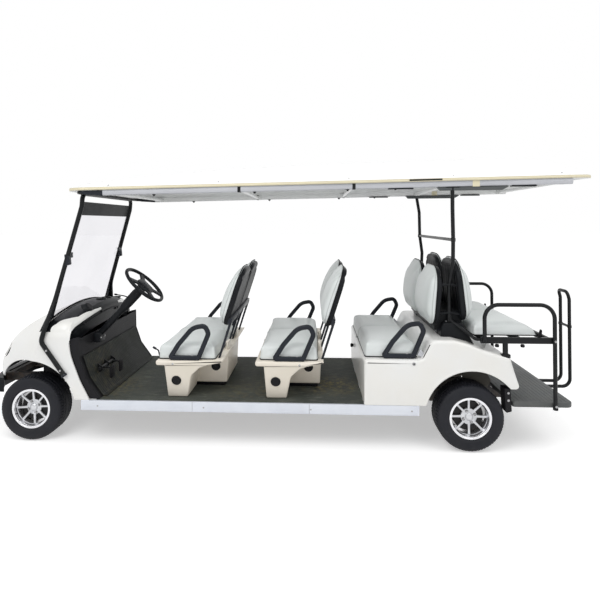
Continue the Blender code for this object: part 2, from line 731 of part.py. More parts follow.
def wheel_well(side):
    """Liner of one front wheel well, inside the cowl: an arch and an inner wall."""
    hub = TYRE_RADIUS
    outer_y = COWL_HALF - WALL - 0.0015
    outer_radius = FRONT_ARCH_RADIUS + WELL_SKIN
    drum = cylinder((0, side * WELL_INNER_Y, hub), (0, side * outer_y, hub), outer_radius, 48)
    well = as_object(drum, "well")
    shelf_top = hub + outer_radius - 0.001
    shelf = block((0.0, FIREWALL_X - 0.002), sorted((side * WELL_INNER_Y, side * outer_y)),
                  (shelf_top - WELL_SKIN, shelf_top))
    combine(well, [shelf], "UNION")
    hollow = cylinder((0, side * (WELL_INNER_Y + WELL_SKIN), hub), (0, side * 0.90, hub),
                      FRONT_ARCH_RADIUS, 48)
    below = block((-1, 1), (-1, 1), (-1, WELL_BOTTOM))
    ahead = block((-1, WELL_FRONT), (-1, 1), (-1, 1))
    combine(well, [hollow, below, ahead], "DIFFERENCE")
    combine(well, [cowl_loft(WALL + 0.003, COWL_OPENED)], "INTERSECT")
    shape = bmesh.new()
    shape.from_mesh(well.data)
    bpy.data.objects.remove(well)
    return shape


def firewall():
    """Wall and toe board behind the front wheels, moulded with the wheel wells."""
    half = COWL_HALF - WALL - 0.001
    foot = PAN_TOP + GAP
    x, thick = FIREWALL_X, 0.008
    outline = [(0.529, foot), (0.425, 0.46), (x, 0.60), (x, 0.745), (x - thick, 0.745),
               (x - thick, 0.598), (0.417, 0.455), (0.506, foot)]
    wells = [wheel_well(side) for _, side in SIDES]
    piece("firewall", "black_plastic", [prism(outline, -half, half)] + wells)


# ------------------------------------------------------------------- controls
COLUMN_AXIS = Vector((math.sin(math.radians(STEERING_TILT_DEG)), 0,
                      math.cos(math.radians(STEERING_TILT_DEG))))


def controls():
    """Steering column, steering wheel and the pedals."""
    foot = WHEEL_HUB - COLUMN_AXIS * COLUMN_LENGTH
    top = WHEEL_HUB - COLUMN_AXIS * 0.045
    y = WHEEL_HUB.y
    mount = block((FIREWALL_X + GAP, FIREWALL_X + 0.05), (y - 0.05, y + 0.05), (0.665, 0.735))
    piece("steering_column", "black_plastic", [cylinder(foot, top, COLUMN_RADIUS), mount])

    grip = [(STEERING_RADIUS + STEERING_GRIP * math.cos(a), STEERING_GRIP * math.sin(a))
            for a in (2 * math.pi * (k + 0.3) / 8 for k in range(8))]
    turn = COLUMN_AXIS.to_track_quat("Y", "X").to_matrix().to_4x4()
    place = Matrix.Translation(WHEEL_HUB) @ turn
    hub = turned([(0, 0.012), (0.05, 0.008), (0.055, -0.008), (0.035, -0.0445), (0, -0.0445)],
                 20, closed=False)
    shapes = [moved(turned(grip, 28), place), moved(hub, place)]
    for angle in (23, 157, 270):
        arm = block((0.03, STEERING_RADIUS - 0.003), (-0.0075, 0.0035), (-0.015, 0.015))
        turn_arm = Matrix.Rotation(math.radians(angle), 4, "Y")
        shapes.append(moved(arm, place @ turn_arm))
    piece("steering_wheel", "black_plastic", shapes, origin=WHEEL_HUB)

    pedal_box()


def pedal_box():
    """Pivot shaft on the toe board with the brake and accelerator pedals."""
    y = WHEEL_HUB.y
    shapes = [block((0.43, 0.46), (y - 0.11, y + 0.17), (0.470, 0.495)),
              block((0.4243, 0.44), (y - 0.01, y + 0.07), (0.465, 0.485))]
    for pedal_y in (y - 0.06, y + 0.11):
        band = (pedal_y - 0.012, pedal_y + 0.012)
        shapes.append(block((0.445, 0.530), band, (0.475, 0.490)))
        pad = block((0.522, 0.534), (pedal_y - 0.035, pedal_y + 0.035), (0.41, 0.50))
        shapes.append(pad)
    piece("pedals", "black_steel", shapes)


# ---------------------------------------------------------------------- seats
def pedestal(name, front):
    """Moulded seat base: full-width front leg, recessed rear box, seat flange."""
    floor_z = MAT_TOP + GAP
    top = PEDESTAL_TOP
    x = front - ROW_1_FRONT
    front_part = in_side_view([
        (x + 0.930, top, 0.012), (x + 0.930, top - 0.037, 0.015), (x + 1.000, top - 0.037, 0.01),
        (x + 1.020, floor_z), (x + 1.165, floor_z), (x + 1.185, top - 0.11, 0.06),
        (x + 1.300, top - 0.035, 0.04), (x + 1.415, top - 0.035, 0.012), (x + 1.415, top, 0.008)],
        steps=3)
    rear = x + 1.400
    rear_part = [block((x + 1.15, rear), (-RECESS_HALF, RECESS_HALF), (floor_z, top - 0.01))]
    for _, side in SIDES:
        ear = sorted((side * (RECESS_HALF - 0.10), side * RECESS_HALF))
        rear_part.append(block((rear - 0.0225, rear), ear, (top - 0.03, top + 0.06)))
    vents = []
    for _, side in SIDES:
        front_vent, rear_vent = (x + 1.075, top - 0.148), (x + 1.31, top - 0.130)
        for (vent_x, vent_z), face in ((front_vent, PEDESTAL_HALF), (rear_vent, RECESS_HALF)):
            vents.append(cylinder((vent_x, side * (face - 0.008), vent_z),
                                  (vent_x, side * (face + 0.02), vent_z), VENT_RADIUS))
    piece(f"pedestal_{name}", "cream_panel",
          [prism(front_part, -PEDESTAL_HALF, PEDESTAL_HALF), *rear_part], vents)


def cushion(name, front, rear, under):
    """A bench cushion as a plain rounded slab; row 3 turns on its front lower edge."""
    thick = REAR_CUSHION_THICK if name == "rear" else CUSHION_THICK
    outline = in_side_view([(front, under), (front, under + thick, 0.035),
                            (rear, under + thick, 0.035), (rear, under)], steps=3)
    hinge = (front, 0, under) if name == "row_3" else (0, 0, 0)
    piece(f"seat_cushion_{name}", "grey_vinyl", [prism(outline, -CUSHION_HALF, CUSHION_HALF)],
          origin=hinge)


def back_frame_matrix(foot_x, foot_z, lean):
    """Matrix of a backrest: X is its thickness rearwards, Z runs up the back."""
    return Matrix.Translation((foot_x, 0, foot_z)) @ Matrix.Rotation(math.radians(lean), 4, "Y")


def back_panel(low, high, height, y_low, y_high, radius):
    """A slab of a backrest with its four corners rounded in front view."""
    corners = [(y_low, 0, 0, radius), (y_low, 0, height, radius),
               (y_high, 0, height, radius), (y_high, 0, 0, radius)]
    ring = rounded(corners, radius, closed=True, steps=4)
    return loft([[(x, v.x, v.z) for v in ring] for x in (low, high)])


def back_shells(name, foot_x, foot_z, lean, height, facing):
    """The two hard shells of one row, as shapes in the cart's frame."""
    place = back_frame_matrix(foot_x, foot_z, lean)
    low, high = sorted((0.0, -facing * SHELL_THICK))
    shapes = []
    for _, side in SIDES:
        band = sorted((side * BACK_INNER, side * BACK_OUTER))
        shapes.append(moved(back_panel(low, high, height, *band, 0.07), place))
    return shapes, place


def backrests():
    """Shells, their brackets, and a cushion on each shell."""
    rows = {row[0]: row for row in BACKS}
    for name in ("row_1", "row_2"):
        shapes, place = back_shells(*rows[name])
        rail = BACK_OUTER - 0.005
        shapes.append(moved(block((SHELL_THICK - 0.008, BACK_LEGS[1] - 0.002), (-rail, rail),
                                  (0.02, 0.07)), place))
        drop = (rows[name][2] - PEDESTAL_TOP - GAP) / math.cos(math.radians(rows[name][3]))
        outermost = rail - 0.003 - LEG_WIDTH / 2
        for y in (-outermost, -0.12, 0.12, outermost):
            leg = block(BACK_LEGS, (y - LEG_WIDTH / 2, y + LEG_WIDTH / 2), (-drop - 0.03, 0.04))
            shapes.append(moved(leg, place))
        under = PEDESTAL_TOP + GAP
        foot = rows[name][1]
        floor_cut = block((foot - 0.5, foot + 0.5), (-0.7, 0.7), (under - 0.3, under))
        piece(f"back_shell_{name}", "black_plastic", shapes, [floor_cut])
    shapes, _ = back_shells(*rows["row_3"])
    rear_shapes, _ = back_shells(*rows["rear"])
    shapes += rear_shapes
    half, foot = BACK_OUTER - 0.07, BACK_RIDGE_TOP + GAP
    first, last = rows["row_3"][1] + 0.01, rows["rear"][1] - 0.01
    shapes.append(block((first, last), (-half, half), (foot + 0.10, foot + 0.23)))
    for y in (-(half - 0.07), half - 0.07):
        shapes.append(block((first + 0.025, last - 0.05), (y - 0.03, y + 0.03), (foot, foot + 0.145)))
    piece("back_frame_rear", "black_plastic", shapes)
    for name, foot_x, foot_z, lean, height, facing in BACKS:
        place = back_frame_matrix(foot_x, foot_z, lean)
        low, high = sorted((facing * GAP, facing * BACK_PAD))
        for side_name, side in SIDES:
            band = sorted((side * (BACK_INNER + 0.004), side * (BACK_OUTER - 0.004)))
            pad = moved(back_panel(low, high, height + 0.012, *band, 0.08), place)
            piece(f"back_cushion_{name}_{side_name}", "grey_vinyl", [pad])


# Corners of the D-shaped loop.  Columns: station and height from its front lower
# corner, radius.
ARM_LOOP = ((0.0, 0.0, 0.012), (0.245, 0.0, 0.02), (0.326, 0.190, 0.05), (0.290, 0.264, 0.045),
            (0.170, 0.246, 0.10), (0.045, 0.120, 0.10))


def armrest_ring(x, z, inset):
    """Outline of the D-shaped loop, or moved inwards by the band, of the hole in it."""
    corners = []
    for k, (dx, dz, radius) in enumerate(ARM_LOOP):
        before, after = ARM_LOOP[k - 1], ARM_LOOP[(k + 1) % len(ARM_LOOP)]
        first = Vector((before[1] - dz, dx - before[0])).normalized()
        second = Vector((dz - after[1], after[0] - dx)).normalized()
        shift = (first + second) * inset / (1 + first.dot(second))
        corners.append((x + dx + shift.x, z + dz + shift.y, max(radius - inset, 0.008)))
    return in_side_view(corners, steps=4)


def armrests():
    """A D-shaped loop on each side of every forward bench."""
    for name, x, z in ARMRESTS:
        for side_name, side in SIDES:
            y_low = side * ARM_Y - ARM_THICK / 2
            y_high = side * ARM_Y + ARM_THICK / 2
            outer = prism(armrest_ring(x, z, 0.0), y_low, y_high)
            hole = prism(armrest_ring(x, z, ARM_BAND), y_low - 0.01, y_high + 0.01)
            piece(f"armrest_{name}_{side_name}", "black_plastic", [outer], [hole])


# ------------------------------------------------------------------ rear body
def rear_body_outline(inset, open_bottom):
    """Side view of the rear body; with an inset, of the hollow in it."""
    low = SILL_TOP + GAP - (0.1 if open_bottom else 0.0)
    rear_low = 0.44 - (0.2 if open_bottom else 0.0)
    i, hub = inset, WHEELBASE
    return in_side_view([
        (REAR_BODY_FRONT + i, low), (REAR_BODY_FRONT + i, REAR_BODY_TOP - i, 0.01),
        (hub - 0.330 - i * 0.3, REAR_BODY_TOP - i, 0.02), (hub - 0.260 - i * 0.3, BACK_RIDGE_TOP - i, 0.02),
        (hub - 0.060 - i * 0.3, BACK_RIDGE_TOP - i, 0.02), (hub - 0.010 - i * 0.3, DECK_TOP - i, 0.02),
        (hub + 0.215 - i, DECK_TOP - i, 0.03), (hub + 0.280 - i, 0.56, 0.10),
        (hub + 0.315 - i, rear_low, 0.02), (hub + 0.18, rear_low), (hub - 0.22, low)], steps=3)


def rear_body():
    """Hollow rear body with wheel arches and an opening under the row 3 cushion."""
    shell = prism(rear_body_outline(0.0, False), -BODY_HALF, BODY_HALF)
    inner = BODY_HALF - WALL
    cuts = [prism(rear_body_outline(WALL, True), -inner, inner)]
    x, z = REAR_ARCH
    cuts.append(cylinder((x, -1, z), (x, 1, z), REAR_ARCH_RADIUS, 48))
    bay = BATTERY_HALF + 0.02
    cuts.append(block((WHEELBASE - 0.70, WHEELBASE - 0.40), (-bay, bay),
                      (REAR_BODY_TOP - 0.08, REAR_BODY_TOP + 0.07)))
    piece("rear_body", "white_panel", [shell], cuts)


def battery_pack():
    """Battery set under the row 3 bench, one plain block on the rails."""
    base = RAIL_TOP + GAP
    box = block((WHEELBASE - 0.70, WHEELBASE - 0.45), (-BATTERY_HALF, BATTERY_HALF),
                (base, base + 0.26))
    piece("battery_pack", "black_plastic", [box])


def rear_bench_frame():
    """Seat rails of the rear-facing bench with the handrails welded on."""
    low, high = SEAT_RAIL_BOTTOM, SEAT_RAIL_TOP
    half = SEAT_RAIL_WIDTH / 2
    front, rear = REAR_BENCH_FRONT + 0.04, REAR_BENCH_REAR + 0.07
    shapes = []
    for _, side in SIDES:
        band = sorted((side * (SEAT_RAIL_Y - half), side * (SEAT_RAIL_Y + half)))
        shapes.append(block((front, rear), band, (low, high)))
        post = sorted((side * (SEAT_RAIL_Y - 0.0115), side * (SEAT_RAIL_Y + 0.0115)))
        post_x = STEP_FRONT - 0.06
        shapes.append(block((post_x, post_x + 0.03), post, (DECK_TOP + GAP, low + 0.01)))
        y = side * HANDRAIL_Y
        path = rounded([(front + 0.022, y, low + 0.01), (front + 0.022, y, HANDRAIL_TOP),
                        (rear - 0.005, y, HANDRAIL_TOP), (rear - 0.005, y, STEP_TOP - 0.045)],
                       0.07, steps=4)
        shapes.append(tube(path))
    for x in (front + 0.03, front + 0.26, rear - 0.04):
        shapes.append(block((x - 0.0125, x + 0.0125), (-SEAT_RAIL_Y, SEAT_RAIL_Y),
                            (low + 0.006, high - 0.0004)))
    piece("rear_bench_frame", "black_steel", shapes)


def footstep():
    """Footstep plate across the tail, with rounded rear corners."""
    half = HANDRAIL_Y - TUBE - GAP
    corners = [(STEP_FRONT, -half, 0, 0.02), (STEP_REAR, -half, 0, 0.05),
               (STEP_REAR, half, 0, 0.05), (STEP_FRONT, half, 0, 0.02)]
    ring = rounded(corners, 0.05, closed=True)
    low = STEP_TOP - STEP_THICK
    piece("footstep", "step_plastic", [loft([[(v.x, v.y, z) for v in ring] for z in (low, STEP_TOP)])])


def grab_hoop():
    """Hoop behind the footstep: two uprights, a brace and legs to the frame."""
    x, half, top = HOOP_X, HOOP_HALF, HOOP_TOP
    low = STEP_TOP - STEP_THICK - 0.0165
    foot = FRAME_END + GAP
    path = rounded([(foot, -half, low), (x, -half, low), (x, -half, top - 0.06),
                    (x - 0.035, -half, top), (x - 0.035, half, top), (x, half, top - 0.06),
                    (x, half, low), (foot, half, low)], 0.035, steps=3)
    brace = cylinder((x, -half, top - 0.27), (x, half, top - 0.27), HOOP_RADIUS * 0.8, 8)
    piece("grab_hoop", "black_steel", [tube(path, HOOP_RADIUS, 8), brace])


# ----------------------------------------------------------------------- roof
def rim_height(x):
    """Height of the roof's rim at a station."""
    return RIM_Z + RIM_RISE * x


def gutter_middle(x):
    """Height of the middle of the gutter rails, near enough, at a station."""
    return rim_height(x) - RIM_UNDER - 0.022


def roof():
    """Crowned roof shell lofted through its sections."""
    fractions = (-1.0, -0.96, -0.86, -0.70, -0.50, -0.25, 0.0, 0.25, 0.50, 0.70, 0.86, 0.96, 1.0)
    rings = []
    for x, inset, crown in ROOF_SECTIONS:
        half = ROOF_HALF - inset
        rim = rim_height(x)
        top = [(x, half * f, rim + 0.008 + crown * (1 - abs(f) ** 3.2)) for f in fractions]
        skin = half - 0.010
        inner = max(crown - ROOF_SKIN, 0.0)
        under = [(x, skin * f, rim - RIM_UNDER + inner * (1 - abs(f) ** 3.2) * (abs(f) < 0.9))
                 for f in reversed(fractions)]
        rings.append(top + under)
    piece("roof", "white_panel", [loft(rings)])


def roof_frame():
    """Gutter rails along both sides of the roof, joined by cross tubes."""
    shapes = []
    stations = (GUTTER_FRONT, GUTTER_REAR)
    for _, side in SIDES:
        top = [(x, rim_height(x) - RIM_UNDER - GAP) for x in stations]
        outline = top + [(x, z - GUTTER_HEIGHT) for x, z in reversed(top)]
        band = sorted((side * (GUTTER_Y - GUTTER_WIDTH / 2), side * (GUTTER_Y + GUTTER_WIDTH / 2)))
        shapes.append(prism(outline, *band))
    for x in (GUTTER_FRONT + 0.06, 1.54, 2.33, WHEELBASE - 0.12, GUTTER_REAR - 0.06):
        z = gutter_middle(x)
        shapes.append(cylinder((x, -GUTTER_Y, z), (x, GUTTER_Y, z), CROSS_TUBE, 8))
    piece("roof_frame", "grey_metal", shapes)


STRUT_LEAN = 0.2755     # the windshield's run rearwards for each metre up
SCREEN_HALF = STRUT_TOP_Y - 0.023
SCREEN_THICK = 0.006


def strut_station(z):
    """Station of the front strut's centre line at a height."""
    return 0.098 + STRUT_LEAN * (z - 0.79)


def front_roof_frame():
    """Front struts from the cowl's sides to the gutter rails, with a cross bar."""
    top_z = gutter_middle(GUTTER_FRONT)
    shapes = []
    for _, side in SIDES:
        path = rounded([
            (GUTTER_FRONT - GAP, side * GUTTER_Y, top_z, 0.0),
            (GUTTER_FRONT - 0.06, side * GUTTER_Y, top_z, 0.05),
            (strut_station(top_z) + 0.05, side * (STRUT_TOP_Y + 0.02), top_z, 0.04),
            (strut_station(1.70), side * STRUT_TOP_Y, 1.70, 0.04),
            (strut_station(1.02), side * (STRUT_TOP_Y + 0.015), 1.02, 0.10),
            (strut_station(0.80), side * STRUT_LOW_Y, 0.80, 0.10),
            (strut_station(0.73), side * STRUT_LOW_Y, 0.73, 0.06),
            (0.255, side * STRUT_LOW_Y, 0.44, 0.0)], 0.05, steps=2)
        shapes.append(tube(path))
        for z in (1.04, 1.34, 1.62):
            x = strut_station(z)
            band = sorted((side * (SCREEN_HALF - 0.022), side * (STRUT_TOP_Y + 0.015)))
            shapes.append(block((x + 0.0058, x + 0.0140), band, (z - 0.02, z + 0.02)))
    x = strut_station(top_z) + 0.04
    shapes.append(cylinder((x, -STRUT_TOP_Y - 0.012, top_z), (x, STRUT_TOP_Y + 0.012, top_z), TUBE, 10))
    piece("front_roof_frame", "black_steel", shapes)


def windshield():
    """Flat clear screen between the front struts, its foot following the cowl's crown."""
    high, half, thick = 1.735, SCREEN_HALF, SCREEN_THICK
    rings = []
    for share in (-1, -0.75, -0.5, -0.25, 0, 0.25, 0.5, 0.75, 1):
        low = COWL_TOP - cowl_drop(share * half) + 4 * GAP
        rings.append([(x, share * half, z) for x, z in (
            (strut_station(low) - thick, low), (strut_station(high) - thick, high),
            (strut_station(high), high), (strut_station(low), low))])
    piece("windshield", "clear_sheet", [loft(rings)])


def rear_roof_frame():
    """Rear struts from the body to the gutter rails, with a cross bar and braces."""
    shapes = []
    foot, bar = REAR_STRUT_X, REAR_STRUT_X - 0.03
    top = REAR_STRUT_X - 0.045
    top_z = rim_height(top) - RIM_UNDER - GUTTER_HEIGHT - 2 * GAP
    rail_end = REAR_BENCH_FRONT + 0.04 - GAP
    for _, side in SIDES:
        y = side * REAR_STRUT_Y
        path = rounded([(foot, y, BACK_RIDGE_TOP + GAP), (foot, y, 1.15), (bar, y, 1.45),
                        (bar - 0.003, y, 1.66), (top, side * GUTTER_Y, top_z - 0.02),
                        (top, side * GUTTER_Y, top_z)], 0.05, steps=2)
        shapes.append(tube(path))
        rail_y, rail_z = side * (SEAT_RAIL_Y - 0.017), SEAT_RAIL_TOP - 0.0205
        brace = rounded([(foot, y, 0.95), (foot, y, 0.86), (rail_end - 0.0247, rail_y, rail_z),
                         (rail_end, rail_y, rail_z)], 0.03, steps=2)
        shapes.append(tube(brace, REAR_STRUT_BRACE, 6))
    shapes.append(cylinder((bar, -REAR_STRUT_Y, 1.45), (bar, REAR_STRUT_Y, 1.45), CROSS_TUBE, 10))
    piece("rear_roof_frame", "black_steel", shapes)


# ---------------------------------------------------------------------- build
for leftover in list(bpy.data.objects):
    bpy.data.objects.remove(leftover)

CART = bpy.data.objects.new("cart", None)
bpy.context.scene.collection.objects.link(CART)
CART.location.x = -(BUMPER_X + HOOP_X + HOOP_RADIUS) / 2

wheels()
for knuckle_side in SIDES:
    knuckle(*knuckle_side)
front_axle()
rear_axle()
drive_motor()
chassis_frame()
floor()
front_body()
front_bumper()
firewall()
controls()
pedestal("row_1", ROW_1_FRONT)
pedestal("row_2", ROW_1_FRONT + ROW_PITCH)
for bench in BENCHES:
    cushion(*bench)
backrests()
armrests()
rear_body()
battery_pack()
rear_bench_frame()
footstep()
grab_hoop()
roof()
roof_frame()
front_roof_frame()
windshield()
rear_roof_frame()
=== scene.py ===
"""Looks of an electric passenger cart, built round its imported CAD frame.

Stations along the cart are metres from the front axle, positive rearwards.  -Y is the
cart's left-hand (driver's) side and +Z is up.  New pieces are surfaces worked out with
numpy in the row frame, and each one rides on a body of the frame.
"""

import logging
import math
from dataclasses import dataclass
from enum import Enum

import bmesh
import bpy
import numpy as np
from mathutils import Matrix, Vector


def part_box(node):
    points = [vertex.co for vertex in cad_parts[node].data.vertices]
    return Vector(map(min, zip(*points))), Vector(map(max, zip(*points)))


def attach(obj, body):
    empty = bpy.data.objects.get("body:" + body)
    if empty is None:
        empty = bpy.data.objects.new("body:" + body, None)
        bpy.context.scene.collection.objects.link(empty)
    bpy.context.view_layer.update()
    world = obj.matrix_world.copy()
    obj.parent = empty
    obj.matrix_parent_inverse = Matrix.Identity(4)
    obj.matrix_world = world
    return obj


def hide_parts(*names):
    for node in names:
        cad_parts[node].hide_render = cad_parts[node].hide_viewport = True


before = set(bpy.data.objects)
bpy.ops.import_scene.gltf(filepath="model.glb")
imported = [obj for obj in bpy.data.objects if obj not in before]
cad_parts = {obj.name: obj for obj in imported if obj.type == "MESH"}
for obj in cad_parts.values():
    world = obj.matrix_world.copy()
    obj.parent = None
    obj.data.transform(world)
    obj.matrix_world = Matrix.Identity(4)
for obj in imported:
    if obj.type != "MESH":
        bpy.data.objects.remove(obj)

LOG = logging.getLogger("cart")
Array = np.ndarray
RGB = tuple[float, float, float]
Point = tuple[float, float, float]

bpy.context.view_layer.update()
CHASSIS = "chassis"
BOTH = (-1, 1)
SIDES = (("left", -1), ("right", 1))


def middle(node: str) -> Vector:
    """Return the middle of a CAD node's box."""
    low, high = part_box(node)
    return (low + high) / 2


AXLE_X = middle("tyre_front_left").x
WHEELBASE = middle("tyre_rear_left").x - AXLE_X
TYRE_RADIUS = middle("tyre_front_left").z
BODY_HALF = -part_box("sill_left")[0].y
ROOF_HALF = -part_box("roof")[0].y
PEDESTAL_TOP = 0.600
RIM_Z = 1.8144
RIM_RISE = 0.0169
RAIL_TOP = 0.0123
RAIL_TALL = 0.040
CROSS_DROP = 0.034
RAIL_FOOT = 0.0525
COWL_HALF = BODY_HALF - 0.012
COWL_TOP = 0.93
COWL_EDGE = 0.08
COWL_CROWN = 0.10
BODY_FOOT = 0.3185
SHARP = 38.0
BEVEL_ANGLE = 32.0
RIM_STEPS = 3


def at(station: float, y: float, z: float) -> Point:
    """Return the row-frame point at a station, a side distance and a height."""
    return (station + AXLE_X, y, z)


def shifted(points: Array) -> Array:
    """Move points given in stations into the row frame."""
    return np.asarray(points, float) + (AXLE_X, 0.0, 0.0)


def placed(points: Array, turn: Array) -> Array:
    """Carry points by a 4 x 4 matrix."""
    return points @ turn[:3, :3].T + turn[:3, 3]


# ------------------------------------------------------------------ surfaces
def grid_faces(rows: int, columns: int, wrap_rows: bool, wrap_columns: bool) -> Array:
    """Join each grid point to its neighbours down and across.

    Args:
        rows: Number of rows of points.
        columns: Number of points in a row.
        wrap_rows: Whether the last row joins the first.
        wrap_columns: Whether each row is a closed loop.

    Returns:
        Quads as an (n, 4) array of point numbers.
    """
    i, j = np.meshgrid(np.arange(rows if wrap_rows else rows - 1),
                       np.arange(columns if wrap_columns else columns - 1), indexing="ij")
    down, across = (i + 1) % rows, (j + 1) % columns
    corners = (i * columns + j, down * columns + j, down * columns + across, i * columns + across)
    return np.stack(corners, -1).reshape(-1, 4)


def angles(count: int) -> Array:
    """Return even steps round a full turn, from 0."""
    return 2 * np.pi * np.arange(count) / count


def eased(value: Array) -> Array:
    """Ease from 0 to 1: three squares less two cubes of the value held to that range."""
    held = np.clip(value, 0.0, 1.0)
    return held * held * (3 - 2 * held)


def unit(vectors: Array) -> Array:
    """Scale vectors to length one."""
    length = np.linalg.norm(vectors, axis=-1, keepdims=True)
    return vectors / np.maximum(length, 1e-12)


def filleted(points: list[tuple], radius: float, closed: bool = False, steps: int = 6,
             size: int = 2) -> Array:
    """Round the corners of a line: each corner becomes an arc that touches both sides.

    Args:
        points: Corners; one number beyond their dimension is that corner's own radius.
        radius: Radius of corners without their own.
        closed: Whether the line is a loop.
        steps: Segments in each arc.
        size: Dimension of the points.

    Returns:
        The rounded line as an (n, size) array.
    """
    corners = [np.array(point[:size], float) for point in points]
    radii = [point[size] if len(point) > size else radius for point in points]
    line: list[Array] = []
    for i, corner in enumerate(corners):
        inner = closed or 0 < i < len(corners) - 1
        back = unit(corners[i - 1] - corner)
        ahead = unit(corners[(i + 1) % len(corners)] - corner)
        bend = math.pi - math.acos(float(np.clip(back @ ahead, -1, 1)))
        if not inner or bend < 0.02 or radii[i] <= 0:
            line.append(corner[None])
            continue
        reach = radii[i] * math.tan(bend / 2)
        centre = corner + unit(back + ahead) * radii[i] / math.cos(bend / 2)
        first, last = corner + back * reach - centre, corner + ahead * reach - centre
        share = np.linspace(0, 1, steps + 1)[:, None]
        line.append(centre + (np.sin((1 - share) * bend) * first + np.sin(share * bend) * last)
                    / math.sin(bend))
    return np.concatenate(line)


def loop(corners: list[tuple], steps: int = 6) -> Array:
    """Return a closed outline whose corners carry their own radii."""
    return filleted(corners, 0.0, True, steps)


def curve_through(points: Array, per_span: int, closed: bool = False) -> Array:
    """Draw a smooth curve through points: cubic spans with tangents along their neighbours.

    Args:
        points: (n, dimension) or (rows, n, dimension) control points.
        per_span: Samples in each span.
        closed: Whether the curve is a loop.

    Returns:
        The samples, along the second-last axis.
    """
    p = np.asarray(points, float)
    if closed:
        p = np.concatenate([p, p[..., :1, :]], -2)
        before = np.concatenate([p[..., -2:-1, :], p[..., :-1, :]], -2)
        after = np.concatenate([p[..., 1:, :], p[..., 1:2, :]], -2)
    else:
        before = np.concatenate([p[..., :1, :], p[..., :-1, :]], -2)
        after = np.concatenate([p[..., 1:, :], p[..., -1:, :]], -2)
    slope = (after - before) / 2
    t = (np.arange(per_span) / per_span)[:, None]
    a, b = p[..., :-1, None, :], p[..., 1:, None, :]
    ta, tb = slope[..., :-1, None, :], slope[..., 1:, None, :]
    spans = ((2 * t**3 - 3 * t**2 + 1) * a + (t**3 - 2 * t**2 + t) * ta
             + (3 * t**2 - 2 * t**3) * b + (t**3 - t**2) * tb)
    line = spans.reshape(*p.shape[:-2], -1, p.shape[-1])
    return line if closed else np.concatenate([line, p[..., -1:, :]], -2)


def oval(wide: float, tall: float, sides: int = 16, power: float = 2.0) -> Array:
    """Return a closed section: a super-ellipse, rounder at power 2 and boxier above it."""
    a = 2 * np.pi * (np.arange(sides) + 0.5) / sides
    c, s = np.cos(a), np.sin(a)
    return np.stack([wide * np.sign(c) * np.abs(c) ** (2 / power),
                     tall * np.sign(s) * np.abs(s) ** (2 / power)], -1)


def carried(path: Array, section: Array, start: Point = (0, 1, 0), closed: bool = False) -> Array:
    """Carry a closed section along a path without letting it twist.

    Args:
        path: (n, 3) points.
        section: (k, 2) offsets, first along the side direction, then across it.
        start: Direction that the section's first axis leans to at the start.
        closed: Whether the path is a loop.

    Returns:
        (n, k, 3) points, one ring of the section at each path point.
    """
    ahead = np.roll(path, -1, 0) - path
    behind = path - np.roll(path, 1, 0)
    if not closed:
        ahead[-1], behind[0] = behind[-1], ahead[0]
    along = unit(unit(ahead) + unit(behind))
    side = np.zeros_like(path)
    lean = np.array(start, float)
    for i, direction in enumerate(along):
        lean = unit(lean - direction * (lean @ direction))
        side[i] = lean
    across = np.cross(along, side)
    spread = 1 / np.maximum(np.sum(unit(ahead) * along, -1), 0.5)
    return (path[:, None] + section[None, :, :1] * side[:, None]
            + section[None, :, 1:] * (across * spread[:, None])[:, None])


def turned(profile: Array, centre: Point, axis: Point, segments: int = 32) -> Array:
    """Turn a profile of (radius, distance along the axis) about an axis.

    Args:
        profile: (k, 2) array.
        centre: Point on the axis where the distance is 0.
        axis: Direction of the axis.
        segments: Steps round the axis.

    Returns:
        (segments, k, 3) points.
    """
    profile = np.asarray(profile, float)
    axis = unit(np.array(axis, float))
    helper = np.array((0.0, 0.0, 1.0)) if abs(axis[2]) < 0.9 else np.array((1.0, 0.0, 0.0))
    first = unit(np.cross(helper, axis))
    second = np.cross(axis, first)
    a = angles(segments)
    spoke = np.cos(a)[:, None] * first + np.sin(a)[:, None] * second
    return (np.array(centre, float) + spoke[:, None] * profile[None, :, :1]
            + axis * profile[None, :, 1:])


def spoke(centre: Array, ways: tuple[Array, Array, Array], lines: tuple[Array, Array, Array],
          half_thick: float, section: Array) -> Array:
    """Loft a section outwards from a centre.

    Args:
        centre: Point that the spoke leaves from.
        ways: Directions outwards, across the spoke and through it.
        lines: At each step, its reach outwards, its half-width and its level.
        half_thick: Half its thickness.
        section: (k, 2) closed section, 1 at its limits.

    Returns:
        (steps, k, 3) points.
    """
    (out, across, through), (reach, width, level) = ways, lines
    return (centre + reach[:, None, None] * out
            + (width[:, None] * section[None, :, 0])[..., None] * across
            + (level[:, None] + half_thick * section[None, :, 1])[..., None] * through)


def inward(outline: Array, amount: float | Array) -> Array:
    """Move a closed outline inwards along its own normals, whichever way it runs."""
    along = np.roll(outline, -1, 0) - np.roll(outline, 1, 0)
    normal = unit(np.stack([along[:, 1], -along[:, 0]], -1))
    x, y = outline[:, 0], outline[:, 1]
    area = np.sum(x * np.roll(y, -1) - y * np.roll(x, -1))
    return outline - normal * np.sign(area) * np.reshape(amount, (-1, 1))


